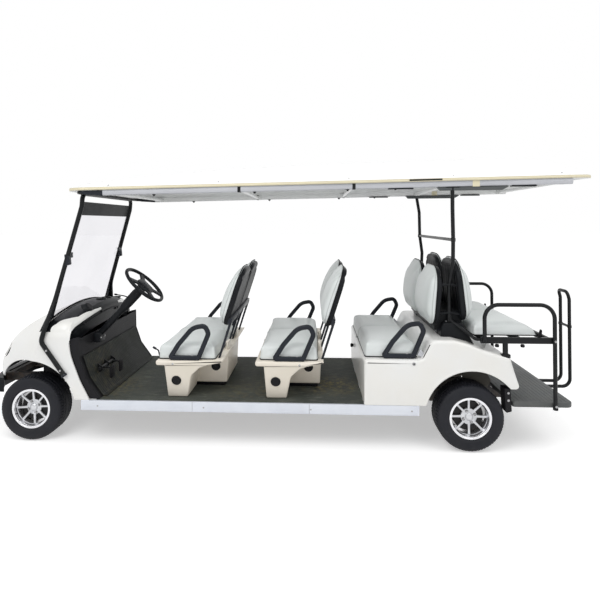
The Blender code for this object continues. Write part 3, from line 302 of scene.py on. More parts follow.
def slab(outline: Array, low: float, high: float, edge: float = 0.002, axis: int = 1
         ) -> Array:
    """Stand an outline up into a plate whose rims are quarter-rounds.

    Args:
        outline: (k, 2) closed outline in the two other axes, in their order.
        low: Where the plate starts along its axis.
        high: Where it ends.
        edge: Radius of its rims.
        axis: 0, 1 or 2 for a plate that looks along X, Y or Z.

    Returns:
        (rings, k, 3) points.
    """
    a = np.linspace(0, np.pi / 2, RIM_STEPS + 1)
    rise, inset = edge * (1 - np.cos(a)), edge * (1 - np.sin(a))
    levels = np.concatenate([low + rise, high - rise[::-1]])
    insets = np.concatenate([inset, inset[::-1]])
    return np.stack([np.insert(inward(outline, amount), axis, level, axis=1)
                     for level, amount in zip(levels, insets)])


def drawn(section: Array, stations: Array) -> Array:
    """Draw a closed (y, z) section along stations."""
    return shifted(np.stack([np.column_stack([np.full(len(section), x), section])
                             for x in stations]))


def rounded_rectangle(u: tuple[float, float], v: tuple[float, float], radius: float,
                      steps: int = 5) -> Array:
    """Return the closed outline of a rectangle with round corners."""
    return filleted([(u[0], v[0]), (u[1], v[0]), (u[1], v[1]), (u[0], v[1])], radius, True, steps)


class Shape:
    """Grids and caps gathered into one mesh, each with its own finish number."""

    def __init__(self) -> None:
        """Start with nothing."""
        self.points: list[Array] = []
        self.faces: list[list[int]] = []
        self.finish: list[int] = []
        self.count = 0

    def grid(self, points: Array, wrap_rows: bool = False, wrap_columns: bool = True,
             caps: bool = True, finish: int | Array = 0) -> "Shape":
        """Add a grid of points.

        Args:
            points: (rows, columns, 3) points.
            wrap_rows: Whether the last row joins the first.
            wrap_columns: Whether each row is a closed loop.
            caps: Whether the first and last rows are filled.
            finish: Number of the finish, or one for each quad.

        Returns:
            This shape.
        """
        rows, columns = points.shape[:2]
        quads = grid_faces(rows, columns, wrap_rows, wrap_columns) + self.count
        self.points.append(points.reshape(-1, 3))
        self.faces += quads.tolist()
        self.finish += np.broadcast_to(finish, len(quads)).tolist()
        if caps and wrap_columns and not wrap_rows:
            first = np.arange(columns) + self.count
            self.faces += [first[::-1].tolist(), (first + (rows - 1) * columns).tolist()]
            self.finish += [int(np.ravel(finish)[0]), int(np.ravel(finish)[-1])]
        self.count += rows * columns
        return self

    def tube(self, corners: list[tuple], radius: float, fillet: float = 0.0, sides: int = 16,
             start: Point = (0, 1, 0), finish: int = 0, steps: int = 8) -> "Shape":
        """Add a round bar along a line of (station, y, z) corners."""
        path = shifted(filleted(corners, fillet, steps=steps, size=3))
        return self.grid(carried(path, oval(radius, radius, sides), start), finish=finish)

    def turn(self, profile: list | Array, centre: Point, axis: Point, segments: int = 32,
             finish: int = 0, ring: bool = False) -> "Shape":
        """Add a turned form: a ring if its profile is closed, else closed at the axis."""
        points = turned(np.asarray(profile, float), centre, axis, segments)
        return self.grid(points, wrap_rows=True, wrap_columns=ring, caps=False, finish=finish)

    def plate(self, outline: Array, low: float, high: float, edge: float = 0.002, axis: int = 1,
              finish: int = 0) -> "Shape":
        """Add a plate with rounded rims; its outline is in stations where it has an X."""
        points = slab(outline, min(low, high), max(low, high), edge, axis)
        return self.grid(shifted(points), finish=finish)

    def block(self, x: tuple[float, float], y: tuple[float, float], z: tuple[float, float],
              edge: float = 0.002, finish: int = 0, corner: float = 0.0015) -> "Shape":
        """Add a bar with softened edges between a pair of limits on each axis."""
        outline = rounded_rectangle(x, z, corner, 2)
        return self.plate(outline, *y, edge, 1, finish)

    def bolt(self, centre: Point, axis: Point, radius: float = 0.007, height: float = 0.005,
             finish: int = 0) -> "Shape":
        """Add a six-sided bolt head on a washer."""
        wide, thin = radius * 1.35, height * 0.25
        washer = [(0, 0.0), (wide, 0.0), (wide, thin), (0, thin)]
        head = [(0, height * 0.2), (radius, height * 0.2), (radius, height * 0.85),
                (radius * 0.8, height), (0, height)]
        self.turn(washer, centre, axis, 16, finish)
        return self.turn(head, centre, axis, 6, finish)

    def stand(self, name: str, finishes: list["Finish"], slot: str, node: str = "",
              body: str = CHASSIS, sharp: float = SHARP) -> bpy.types.Object:
        """Make the mesh, ride it on its body and hide the CAD node it stands for."""
        return settled(self.made(name, finishes, sharp), slot, body, *([node] if node else []))

    def made(self, name: str, finishes: list["Finish"], sharp: float = SHARP
             ) -> bpy.types.Object:
        """Make the mesh: merge its seams and poles, turn faces outwards, shade it.

        Args:
            name: Piece name.
            finishes: Finishes in the order of their numbers.
            sharp: Angle in degrees above which an edge stays sharp.

        Returns:
            The new object, at the origin.
        """
        mesh = bpy.data.meshes.new(name)
        mesh.from_pydata(np.concatenate(self.points).tolist(), [], self.faces)
        mesh.polygons.foreach_set("material_index", np.array(self.finish, np.int32))
        tidy = bmesh.new()
        tidy.from_mesh(mesh)
        bmesh.ops.remove_doubles(tidy, verts=tidy.verts, dist=1e-6)
        bmesh.ops.dissolve_degenerate(tidy, edges=tidy.edges, dist=1e-7)
        bmesh.ops.recalc_face_normals(tidy, faces=tidy.faces)
        tidy.to_mesh(mesh)
        tidy.free()
        shaded(mesh, sharp)
        for finish in finishes:
            mesh.materials.append(finish.material())
        return stood(name, mesh)


def shaded(mesh: bpy.types.Mesh, sharp: float = SHARP) -> None:
    """Smooth a mesh, apart from edges sharper than an angle in degrees."""
    mesh.shade_smooth()
    mesh.set_sharp_from_angle(angle=math.radians(sharp))


def stood(name: str, data: bpy.types.ID) -> bpy.types.Object:
    """Put a mesh, a lamp or a camera into the scene as an object at the origin."""
    thing = bpy.data.objects.new(name, data)
    bpy.context.scene.collection.objects.link(thing)
    return thing


def softened(piece: bpy.types.Object, width: float) -> bpy.types.Object:
    """Give a piece a bevel on its hard edges."""
    bevel = piece.modifiers.new("softened edges", "BEVEL")
    bevel.width = width
    bevel.segments = 2
    bevel.limit_method = "ANGLE"
    bevel.angle_limit = math.radians(BEVEL_ANGLE)
    bevel.harden_normals = True
    return piece


def carved(piece: bpy.types.Object, tools: list[bpy.types.Object]) -> bpy.types.Object:
    """Cut tools out of a piece and remove the tools."""
    for tool in tools:
        cut = piece.modifiers.new("cut", "BOOLEAN")
        cut.operation = "DIFFERENCE"
        cut.solver = "EXACT"
        cut.material_mode = "TRANSFER"
        cut.object = tool
    bpy.context.view_layer.update()
    graph = bpy.context.evaluated_depsgraph_get()
    mesh = bpy.data.meshes.new_from_object(piece.evaluated_get(graph))
    piece.modifiers.clear()
    piece.data = mesh
    shaded(mesh)
    piece.modifiers.new("flat faces lead", "WEIGHTED_NORMAL").keep_sharp = True
    for tool in tools:
        bpy.data.objects.remove(tool)
    return piece


def refined(node: str, name: str, finish: "Finish", width: float = 0.002,
            body: str = CHASSIS, slot: str = "") -> bpy.types.Object:
    """Stand a merged copy of a CAD node, with softened edges, in its place.

    Args:
        node: CAD node.
        name: Name of the new piece.
        finish: Its finish.
        width: Width of the softened edges.
        body: Body that it rides on.
        slot: Material slot of the record.

    Returns:
        The new piece.
    """
    tidy = bmesh.new()
    tidy.from_mesh(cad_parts[node].data)
    bmesh.ops.remove_doubles(tidy, verts=tidy.verts, dist=1e-5)
    bmesh.ops.dissolve_limit(tidy, angle_limit=math.radians(0.5), verts=tidy.verts,
                             edges=tidy.edges)
    mesh = bpy.data.meshes.new(name)
    tidy.to_mesh(mesh)
    tidy.free()
    mesh.materials.clear()
    mesh.materials.append(finish.material())
    mesh.polygons.foreach_set("material_index", np.zeros(len(mesh.polygons), np.int32))
    shaded(mesh)
    return settled(softened(stood(name, mesh), width), slot, body, node)


def settled(piece: bpy.types.Object, slot: str, body: str = CHASSIS,
            *nodes: str) -> bpy.types.Object:
    """Ride a finished piece on its body and hide the CAD nodes that it stands for.

    Args:
        piece: Finished piece.
        slot: Material slot of the record; not used.
        body: Body that it rides on.
        nodes: CAD nodes that it stands for.

    Returns:
        The piece.
    """
    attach(piece, body)
    if nodes:
        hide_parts(*nodes)
    LOG.info("%s on %s, %d faces", piece.name, body, len(piece.data.polygons))
    return piece


# ------------------------------------------------------------------ finishes
class Wiring:
    """Adds nodes to a node tree and joins them."""

    def __init__(self, tree: bpy.types.NodeTree) -> None:
        """Work on one tree."""
        self.tree = tree

    def add(self, kind: str, inputs: dict | None = None, **settings: object) -> bpy.types.Node:
        """Add a node.

        Args:
            kind: Type of the node, less its "ShaderNode" prefix.
            inputs: Values or output sockets by input name or number.
            settings: Properties of the node.

        Returns:
            The node.
        """
        node = self.tree.nodes.new("ShaderNode" + kind)
        for key, value in settings.items():
            setattr(node, key, value)
        return self.feed(node, inputs or {})

    def feed(self, node: bpy.types.Node, inputs: dict) -> bpy.types.Node:
        """Give a node's inputs their values or links; a colour gets its alpha."""
        for key, value in inputs.items():
            socket = node.inputs[key]
            if isinstance(value, bpy.types.NodeSocket):
                self.tree.links.new(value, socket)
            else:
                socket.default_value = (*value, 1.0) if socket.type == "RGBA" else value
        return node

    def math(self, operation: str, a: object, b: object = 0.0) -> bpy.types.NodeSocket:
        """Add a Math node and return its value."""
        return self.add("Math", {0: a, 1: b}, operation=operation).outputs[0]

    def ramp(self, value: object, low: float, high: float, to_low: float = 0.0,
             to_high: float = 1.0) -> bpy.types.NodeSocket:
        """Map a value smoothly from one range to another, held at its ends."""
        inputs = {"Value": value, "From Min": low, "From Max": high, "To Min": to_low,
                  "To Max": to_high}
        return self.add("MapRange", inputs, interpolation_type="SMOOTHSTEP").outputs[0]

    def blend(self, share: object, a: object, b: object) -> bpy.types.NodeSocket:
        """Mix two colours and return the colour."""
        return self.add("Mix", {0: share, 6: a, 7: b}, data_type="RGBA").outputs[2]

    def noise(self, vector: object, scale: object, detail: float,
              roughness: float = 0.5) -> bpy.types.NodeSocket:
        """Add fractal noise and return its value."""
        inputs = {"Vector": vector, "Scale": scale, "Detail": detail, "Roughness": roughness}
        return self.add("TexNoise", inputs).outputs["Fac"]


def effect_group(effect: "Effect", inputs: dict[str, str], outputs: dict[str, str]
                 ) -> tuple[Wiring, bpy.types.NodeOutputs, bpy.types.Node]:
    """Start a shader node group with named sockets.

    Args:
        effect: Effect that the group stands for.
        inputs: Socket kinds ("Float", "Color" or "Vector") by name.
        outputs: The same for what it puts out.

    Returns:
        The group's wiring, what it is given, and its output node.
    """
    tree = bpy.data.node_groups.new(effect.value, "ShaderNodeTree")
    for way, sockets in (("INPUT", inputs), ("OUTPUT", outputs)):
        for label, kind in sockets.items():
            tree.interface.new_socket(label, in_out=way, socket_type="NodeSocket" + kind)
    given = tree.nodes.new("NodeGroupInput")
    return Wiring(tree), given.outputs, tree.nodes.new("NodeGroupOutput")


class Effect(Enum):
    """Surface effects that several finishes share, each a node group."""

    PATCHES = "patchy colour"
    GRAIN = "fine grain"
    DUST = "settled dust"
    WEAR = "worn edges"

    def tree(self) -> bpy.types.NodeTree:
        """Return the effect's node group, made once."""
        makers = {Effect.PATCHES: patchy_colour, Effect.GRAIN: fine_grain,
                  Effect.DUST: settled_dust, Effect.WEAR: worn_edges}
        return bpy.data.node_groups.get(self.value) or makers[self]()


COLOUR_AND_MASK = {"Colour": "Color", "Mask": "Float"}


def patchy_colour() -> bpy.types.NodeTree:
    """Drift from one colour to another: cloudy noise held between two thresholds."""
    w, given, out = effect_group(
        Effect.PATCHES, {"Vector": "Vector", "Colour": "Color", "Second": "Color",
                         "Scale": "Float", "Share": "Float"}, COLOUR_AND_MASK)
    cloud = w.noise(given["Vector"], given["Scale"], 5.0, 0.6)
    mask = w.math("MULTIPLY", w.ramp(cloud, 0.36, 0.68), given["Share"])
    colour = w.blend(mask, given["Colour"], given["Second"])
    w.feed(out, {"Colour": colour, "Mask": mask})
    return w.tree


def fine_grain() -> bpy.types.NodeTree:
    """Pebbled or plain grain: cell distance and fine noise mixed by the pebble share."""
    w, given, out = effect_group(
        Effect.GRAIN, {"Vector": "Vector", "Scale": "Float", "Pebble": "Float"},
        {"Height": "Float"})
    cells = w.add("TexVoronoi", {"Vector": given["Vector"], "Scale": given["Scale"]},
                  feature="SMOOTH_F1")
    noise = w.noise(given["Vector"], given["Scale"], 3.0)
    share = given["Pebble"]
    pebbled = w.math("MULTIPLY", w.math("SUBTRACT", 1.0, cells.outputs["Distance"]), share)
    plain = w.math("MULTIPLY", noise, w.math("SUBTRACT", 1.0, share))
    w.feed(out, {"Height": w.math("ADD", pebbled, plain)})
    return w.tree


def settled_dust() -> bpy.types.NodeTree:
    """Road dust: thick below one height, gone above another, broken up by noise."""
    w, given, out = effect_group(
        Effect.DUST, {"Vector": "Vector", "Colour": "Color", "Dust": "Color", "Low": "Float",
                      "High": "Float", "Amount": "Float"}, COLOUR_AND_MASK)
    height = w.add("SeparateXYZ", {"Vector": given["Vector"]}).outputs["Z"]
    fall = w.add("MapRange", {"Value": height, "From Min": given["Low"],
                              "From Max": given["High"], "To Min": 1.0, "To Max": 0.0})
    cloud = w.noise(given["Vector"], 9.0, 6.0, 0.7)
    broken = w.math("MULTIPLY", fall.outputs[0], w.ramp(cloud, 0.32, 0.70))
    mask = w.math("MULTIPLY", broken, given["Amount"])
    w.feed(out, {"Colour": w.blend(mask, given["Colour"], given["Dust"]), "Mask": mask})
    return w.tree


def worn_edges() -> bpy.types.NodeTree:
    """Rubbed edges and short scuffs: sharp corners and stretched noise over a threshold."""
    w, given, out = effect_group(
        Effect.WEAR, {"Vector": "Vector", "Colour": "Color", "Bare": "Color",
                      "Amount": "Float", "Scale": "Float"}, COLOUR_AND_MASK)
    point = w.add("NewGeometry").outputs["Pointiness"]
    noise = w.noise(given["Vector"], given["Scale"], 6.0, 0.75)
    edge = w.math("MULTIPLY", w.ramp(point, 0.52, 0.62), w.ramp(noise, 0.42, 0.62))
    stretched = w.add("Mapping", {"Vector": given["Vector"], "Scale": (0.6, 0.6, 4.0),
                                  "Rotation": (0.3, 0.5, 0.2)}).outputs[0]
    scuff = w.math("MULTIPLY", w.ramp(w.noise(stretched, 42.0, 4.0), 0.66, 0.74), 0.5)
    mask = w.math("MULTIPLY", w.math("MAXIMUM", edge, scuff), given["Amount"])
    w.feed(out, {"Colour": w.blend(mask, given["Colour"], given["Bare"]), "Mask": mask})
    return w.tree


class Grain(Enum):
    """Grain of a surface: cells per metre, pebble share, and stretch along X, Y and Z."""

    SMOOTH = (60.0, 0.0, (1.0, 1.0, 1.0))
    VINYL = (420.0, 0.75, (1.0, 1.0, 1.0))
    MOULDED = (650.0, 0.55, (1.0, 1.0, 1.0))
    POWDER = (900.0, 0.1, (1.0, 1.0, 1.0))
    CAST = (260.0, 0.3, (1.0, 1.0, 1.0))
    BRUSHED = (90.0, 0.0, (0.25, 9.0, 9.0))
    RUBBER = (300.0, 0.4, (1.0, 1.0, 1.0))


@dataclass(frozen=True)
class Finish:
    """A surface finish: its colours, gloss, grain, wear and dust."""

    name: str
    colour: RGB
    roughness: float
    metallic: float = 0.0
    second: RGB = (0.5, 0.5, 0.5)
    patch_scale: float = 2.2
    patch_share: float = 0.3
    grain: Grain = Grain.SMOOTH
    depth: float = 0.0004
    bare: RGB = (0.35, 0.35, 0.36)
    wear: float = 0.0
    dust_colour: RGB = (0.32, 0.29, 0.24)
    dust: float = 0.0
    dust_top: float = 0.6
    coat: float = 0.0
    specular: float = 0.5
    rough_spread: float = 0.12

    def material(self) -> bpy.types.Material:
        """Return the finish's material, made once."""
        found = bpy.data.materials.get(self.name)
        if found:
            return found
        material = bpy.data.materials.new(self.name)
        material.use_nodes = True
        material.diffuse_color = (*self.colour, 1.0)
        w = Wiring(material.node_tree)
        shader = material.node_tree.nodes["Principled BSDF"]
        self.dress(w, shader, w.add("TexCoord").outputs["Object"])
        return material

    def group(self, w: Wiring, effect: Effect, inputs: dict) -> bpy.types.Node:
        """Place a shared effect with this finish's own values."""
        return w.add("Group", inputs, node_tree=effect.tree())

    def pattern(self, w: Wiring, where: bpy.types.NodeSocket) -> tuple:
        """Return the colour before wear and dust, and its mask."""
        node = self.group(w, Effect.PATCHES, {
            "Vector": where, "Colour": self.colour, "Second": self.second,
            "Scale": self.patch_scale, "Share": self.patch_share})
        return node.outputs["Colour"], node.outputs["Mask"]

    def dress(self, w: Wiring, shader: bpy.types.Node, where: bpy.types.NodeSocket) -> None:
        """Wire the effects into the shader.

        Args:
            w: Wiring of the material's tree.
            shader: The Principled shader.
            where: Object coordinates.
        """
        colour, mask = self.pattern(w, where)
        if self.wear:
            node = self.group(w, Effect.WEAR, {"Vector": where, "Colour": colour,
                                               "Bare": self.bare, "Amount": self.wear,
                                               "Scale": 30.0})
            colour = node.outputs["Colour"]
        if self.dust:
            node = self.group(w, Effect.DUST, {
                "Vector": where, "Colour": colour, "Dust": self.dust_colour, "Low": 0.0,
                "High": self.dust_top, "Amount": self.dust})
            colour, mask = node.outputs["Colour"], w.math("ADD", mask, node.outputs["Mask"])
        high = min(self.roughness + self.rough_spread, 1.0)
        gloss = w.ramp(mask, 0.0, 0.8, self.roughness, high)
        w.feed(shader, {"Base Color": colour, "Roughness": gloss, "Metallic": self.metallic,
                        "Specular IOR Level": self.specular})
        if self.coat:
            w.feed(shader, {"Coat Weight": self.coat, "Coat Roughness": 0.08})
        cells, pebble, stretch = self.grain.value
        mapped = w.add("Mapping", {"Vector": where, "Scale": stretch}).outputs[0]
        grain = self.group(w, Effect.GRAIN, {"Vector": mapped, "Scale": cells, "Pebble": pebble})
        height = self.relief(w, where, grain.outputs["Height"])
        bump = w.add("Bump", {"Height": height, "Distance": self.depth, "Strength": 1.0})
        w.feed(shader, {"Normal": bump.outputs[0]})

    def relief(self, w: Wiring, where: bpy.types.NodeSocket,
               height: bpy.types.NodeSocket) -> bpy.types.NodeSocket:
        """Return the bump height; a finish with a pattern of its own adds to the grain."""
        return height


@dataclass(frozen=True)
class MatFinish(Finish):
    """Floor matting: scuffed rubber with dried mud at the toe board and the footwells."""

    mud: RGB = (0.19, 0.155, 0.07)
    scuff: RGB = (0.17, 0.18, 0.155)

    def pattern(self, w: Wiring, where: bpy.types.NodeSocket) -> tuple:
        """Mix base colours, long scuffs, and mud where feet leave it."""
        colour, mask = super().pattern(w, where)
        long = w.add("Mapping", {"Vector": where, "Scale": (3.0, 9.0, 9.0),
                                 "Rotation": (0.0, 0.25, 0.3)}).outputs[0]
        streak = w.noise(long, 3.4, 9.0, 0.78)
        colour = w.blend(w.ramp(streak, 0.50, 0.72, 0.0, 0.75), colour, self.scuff)
        crumbs = w.noise(where, 24.0, 9.0, 0.8)
        for station, y, z, reach, strength in ((0.44, -0.30, 0.42, 0.42, 0.8),
                                               (2.18, -0.20, 0.33, 0.30, 1.0),
                                               (1.55, -0.35, 0.33, 0.35, 0.35)):
            far = w.add("VectorMath", {0: where, 1: at(station, y, z)}, operation="DISTANCE")
            near = w.ramp(far.outputs["Value"], 0.05, reach, strength, 0.0)
            spot = w.math("MULTIPLY", near, w.ramp(crumbs, 0.46, 0.60))
            colour = w.blend(spot, colour, self.mud)
        return colour, w.math("MAXIMUM", mask, w.ramp(streak, 0.5, 0.7))


@dataclass(frozen=True)
class TyreFinish(Finish):
    """Tyre rubber, with fine rings moulded round each sidewall."""

    hub: tuple[float, float] = (0.0, 0.0)

    def relief(self, w: Wiring, where: bpy.types.NodeSocket,
               height: bpy.types.NodeSocket) -> bpy.types.NodeSocket:
        """Add rings: a sine of the distance from the hub in side view."""
        parts = w.add("SeparateXYZ", {"Vector": where})
        dx = w.math("SUBTRACT", parts.outputs["X"], self.hub[0])
        dz = w.math("SUBTRACT", parts.outputs["Z"], self.hub[1])
        reach = w.math("SQRT", w.math("ADD", w.math("MULTIPLY", dx, dx),
                                      w.math("MULTIPLY", dz, dz)))
        rings = w.math("SINE", w.math("MULTIPLY", reach, 900.0))
        return w.math("ADD", w.math("MULTIPLY", rings, 0.25), height)


@dataclass(frozen=True)
class ClearFinish(Finish):
    """Clear plastic or glass sheet: a tint, a little haze and nothing else."""

    tint: RGB = (0.9, 0.9, 0.92)
    clearness: float = 1.0
    cover: float = 1.0

    def dress(self, w: Wiring, shader: bpy.types.Node, where: bpy.types.NodeSocket) -> None:
        """Set the sheet's transmission; haze drifts with noise."""
        cloud = w.noise(where, 2.5, 4.0)
        haze = tuple(0.96 * c for c in self.tint)
        gloss = w.ramp(cloud, 0.3, 0.7, self.roughness, self.roughness + 0.02)
        w.feed(shader, {"Base Color": w.blend(w.ramp(cloud, 0.35, 0.65), self.tint, haze),
                        "Roughness": gloss, "Transmission Weight": self.clearness,
                        "Alpha": self.cover, "IOR": 1.12})


WHITE_BODY = Finish("white body panel", (0.83, 0.835, 0.83), 0.28, second=(0.82, 0.80, 0.74),
                    patch_scale=1.3, patch_share=0.55, depth=0.00015, coat=0.25, dust=0.30,
                    dust_top=0.50, dust_colour=(0.62, 0.58, 0.50))
ROOF_WHITE = Finish("white roof moulding", (0.87, 0.88, 0.88), 0.32, second=(0.84, 0.84, 0.82),
                    patch_share=0.4, depth=0.0002, coat=0.15)
ROOF_CREAM = Finish("cream roof rim", (0.72, 0.66, 0.47), 0.45, second=(0.64, 0.58, 0.42),
                    patch_scale=5.0, patch_share=0.5)
GUTTER_GREY = Finish("grey gutter extrusion", (0.50, 0.51, 0.54), 0.42, 0.35,
                     second=(0.42, 0.43, 0.46), patch_share=0.4, grain=Grain.BRUSHED,
                     depth=0.0001)
CREAM = Finish("cream moulding", (0.82, 0.76, 0.67), 0.40, second=(0.78, 0.72, 0.60),
               patch_scale=3.0, patch_share=0.5, grain=Grain.MOULDED, depth=0.0001, dust=0.55,
               dust_top=0.50, dust_colour=(0.50, 0.44, 0.34), wear=0.25, bare=(0.6, 0.54, 0.44))
VINYL = Finish("grey-white vinyl", (0.66, 0.70, 0.69), 0.36, second=(0.73, 0.75, 0.75),
               patch_scale=2.5, patch_share=0.5, grain=Grain.VINYL, depth=0.00035,
               rough_spread=0.18)
PIPING = Finish("grey piping", (0.52, 0.55, 0.54), 0.42, second=(0.45, 0.48, 0.47),
                grain=Grain.VINYL, depth=0.0002)
BLACK_MOULDED = Finish("black moulding", (0.009, 0.010, 0.012), 0.38, second=(0.018, 0.020, 0.021),
                       patch_scale=4.0, patch_share=0.45, grain=Grain.MOULDED, depth=0.00025,
                       wear=0.25, bare=(0.035, 0.038, 0.038), dust=0.08, dust_top=1.1,
                       dust_colour=(0.04, 0.044, 0.04), specular=0.11)
ARM_BLACK = Finish("black arm moulding", (0.012, 0.014, 0.020), 0.36, second=(0.018, 0.022, 0.03),
                   patch_share=0.5, grain=Grain.MOULDED, depth=0.0002, wear=0.3,
                   bare=(0.05, 0.06, 0.07), specular=0.22)
BLACK_TUBE = Finish("black powder coat", (0.008, 0.009, 0.010), 0.30, 0.0,
                    second=(0.016, 0.016, 0.018), patch_share=0.4, grain=Grain.POWDER,
                    depth=0.00015, coat=0.04, wear=0.35, bare=(0.06, 0.06, 0.06), specular=0.16)
CHASSIS_PAINT = Finish("chassis paint", (0.022, 0.022, 0.024), 0.5, second=(0.05, 0.045, 0.04),
                       patch_share=0.6, grain=Grain.CAST, wear=0.6, bare=(0.16, 0.09, 0.05),
                       dust=0.8, dust_top=0.55, dust_colour=(0.17, 0.145, 0.115))
CAST_IRON = Finish("dark cast iron", (0.05, 0.05, 0.052), 0.55, 0.5, second=(0.10, 0.07, 0.045),
                   patch_share=0.6, grain=Grain.CAST, depth=0.0006, dust=0.7, dust_top=0.5,
                   dust_colour=(0.18, 0.155, 0.125))
MAT = MatFinish("scuffed floor mat", (0.042, 0.048, 0.042), 0.62, second=(0.085, 0.092, 0.078),
                patch_scale=4.5, patch_share=0.8, grain=Grain.RUBBER, depth=0.0006, specular=0.3)
STEP_GREY = Finish("grey step moulding", (0.060, 0.068, 0.070), 0.50, second=(0.085, 0.09, 0.09),
                   patch_share=0.7, grain=Grain.MOULDED, depth=0.0004, wear=0.4,
                   bare=(0.13, 0.14, 0.14), dust=0.3, dust_top=0.5)
SILL_METAL = Finish("brushed sill metal", (0.70, 0.73, 0.79), 0.34, 0.30,
                    second=(0.62, 0.65, 0.72), patch_scale=4.0, patch_share=0.6,
                    grain=Grain.BRUSHED, depth=0.0001, dust=0.25, dust_top=0.35,
                    dust_colour=(0.5, 0.48, 0.44))
RIM_SILVER = Finish("silver rim paint", (0.62, 0.63, 0.65), 0.28, 0.75,
                    second=(0.52, 0.53, 0.56), patch_scale=8.0, patch_share=0.4, coat=0.3,
                    depth=0.0001, dust=0.25, dust_top=0.3)
RIM_POLISHED = Finish("polished rim lip", (0.78, 0.78, 0.80), 0.16, 0.9,
                      second=(0.66, 0.66, 0.70), patch_scale=10.0, patch_share=0.35,
                      depth=0.00008)
DRUM_DARK = Finish("dark brake drum", (0.016, 0.016, 0.018), 0.6, 0.3, second=(0.03, 0.026, 0.024),
                   grain=Grain.CAST)
STEEL = Finish("bright steel", (0.42, 0.42, 0.43), 0.30, 0.9, second=(0.30, 0.29, 0.27),
               patch_scale=30.0, patch_share=0.4, depth=0.0001)
REFLECTOR = Finish("lamp reflector", (0.85, 0.86, 0.88), 0.30, 0.15, second=(0.75, 0.76, 0.78),
                   patch_scale=20.0, depth=0.0001)
# The toe board mat is the floor mat with its colours, scuffs and mud at about a third of their
# value: painted shade for the footwell under the dashboard.
TOE_MAT_PAINTED_SHADE = MatFinish("scuffed toe board mat in painted shade", (0.014, 0.016, 0.015), 0.58,
                    second=(0.026, 0.029, 0.025), patch_scale=4.5, patch_share=0.8,
                    grain=Grain.RUBBER, depth=0.0006, specular=0.2, mud=(0.06, 0.053, 0.032),
                    scuff=(0.055, 0.06, 0.052))
LINING = Finish("black lining", (0.008, 0.008, 0.010), 0.55, second=(0.015, 0.014, 0.015),
                grain=Grain.MOULDED, depth=0.0004, dust=0.25, dust_top=0.5,
                dust_colour=(0.04, 0.036, 0.033), specular=0.18)
SPLASH = Finish("brown-grey splash panel", (0.115, 0.105, 0.09), 0.6, second=(0.15, 0.135, 0.11),
                patch_share=0.7, grain=Grain.CAST, dust=0.4)
AMBER = Finish("amber lens", (0.72, 0.30, 0.04), 0.2, second=(0.62, 0.24, 0.03), patch_scale=20.0)
CLEAR_SHEET = ClearFinish("clear screen sheet", (0.8, 0.8, 0.8), 0.02,
                          tint=(0.862, 0.856, 0.882))
LAMP_CLEAR = ClearFinish("clear lamp lens", (0.8, 0.8, 0.8), 0.03, tint=(0.96, 0.97, 0.98),
                         cover=0.14)


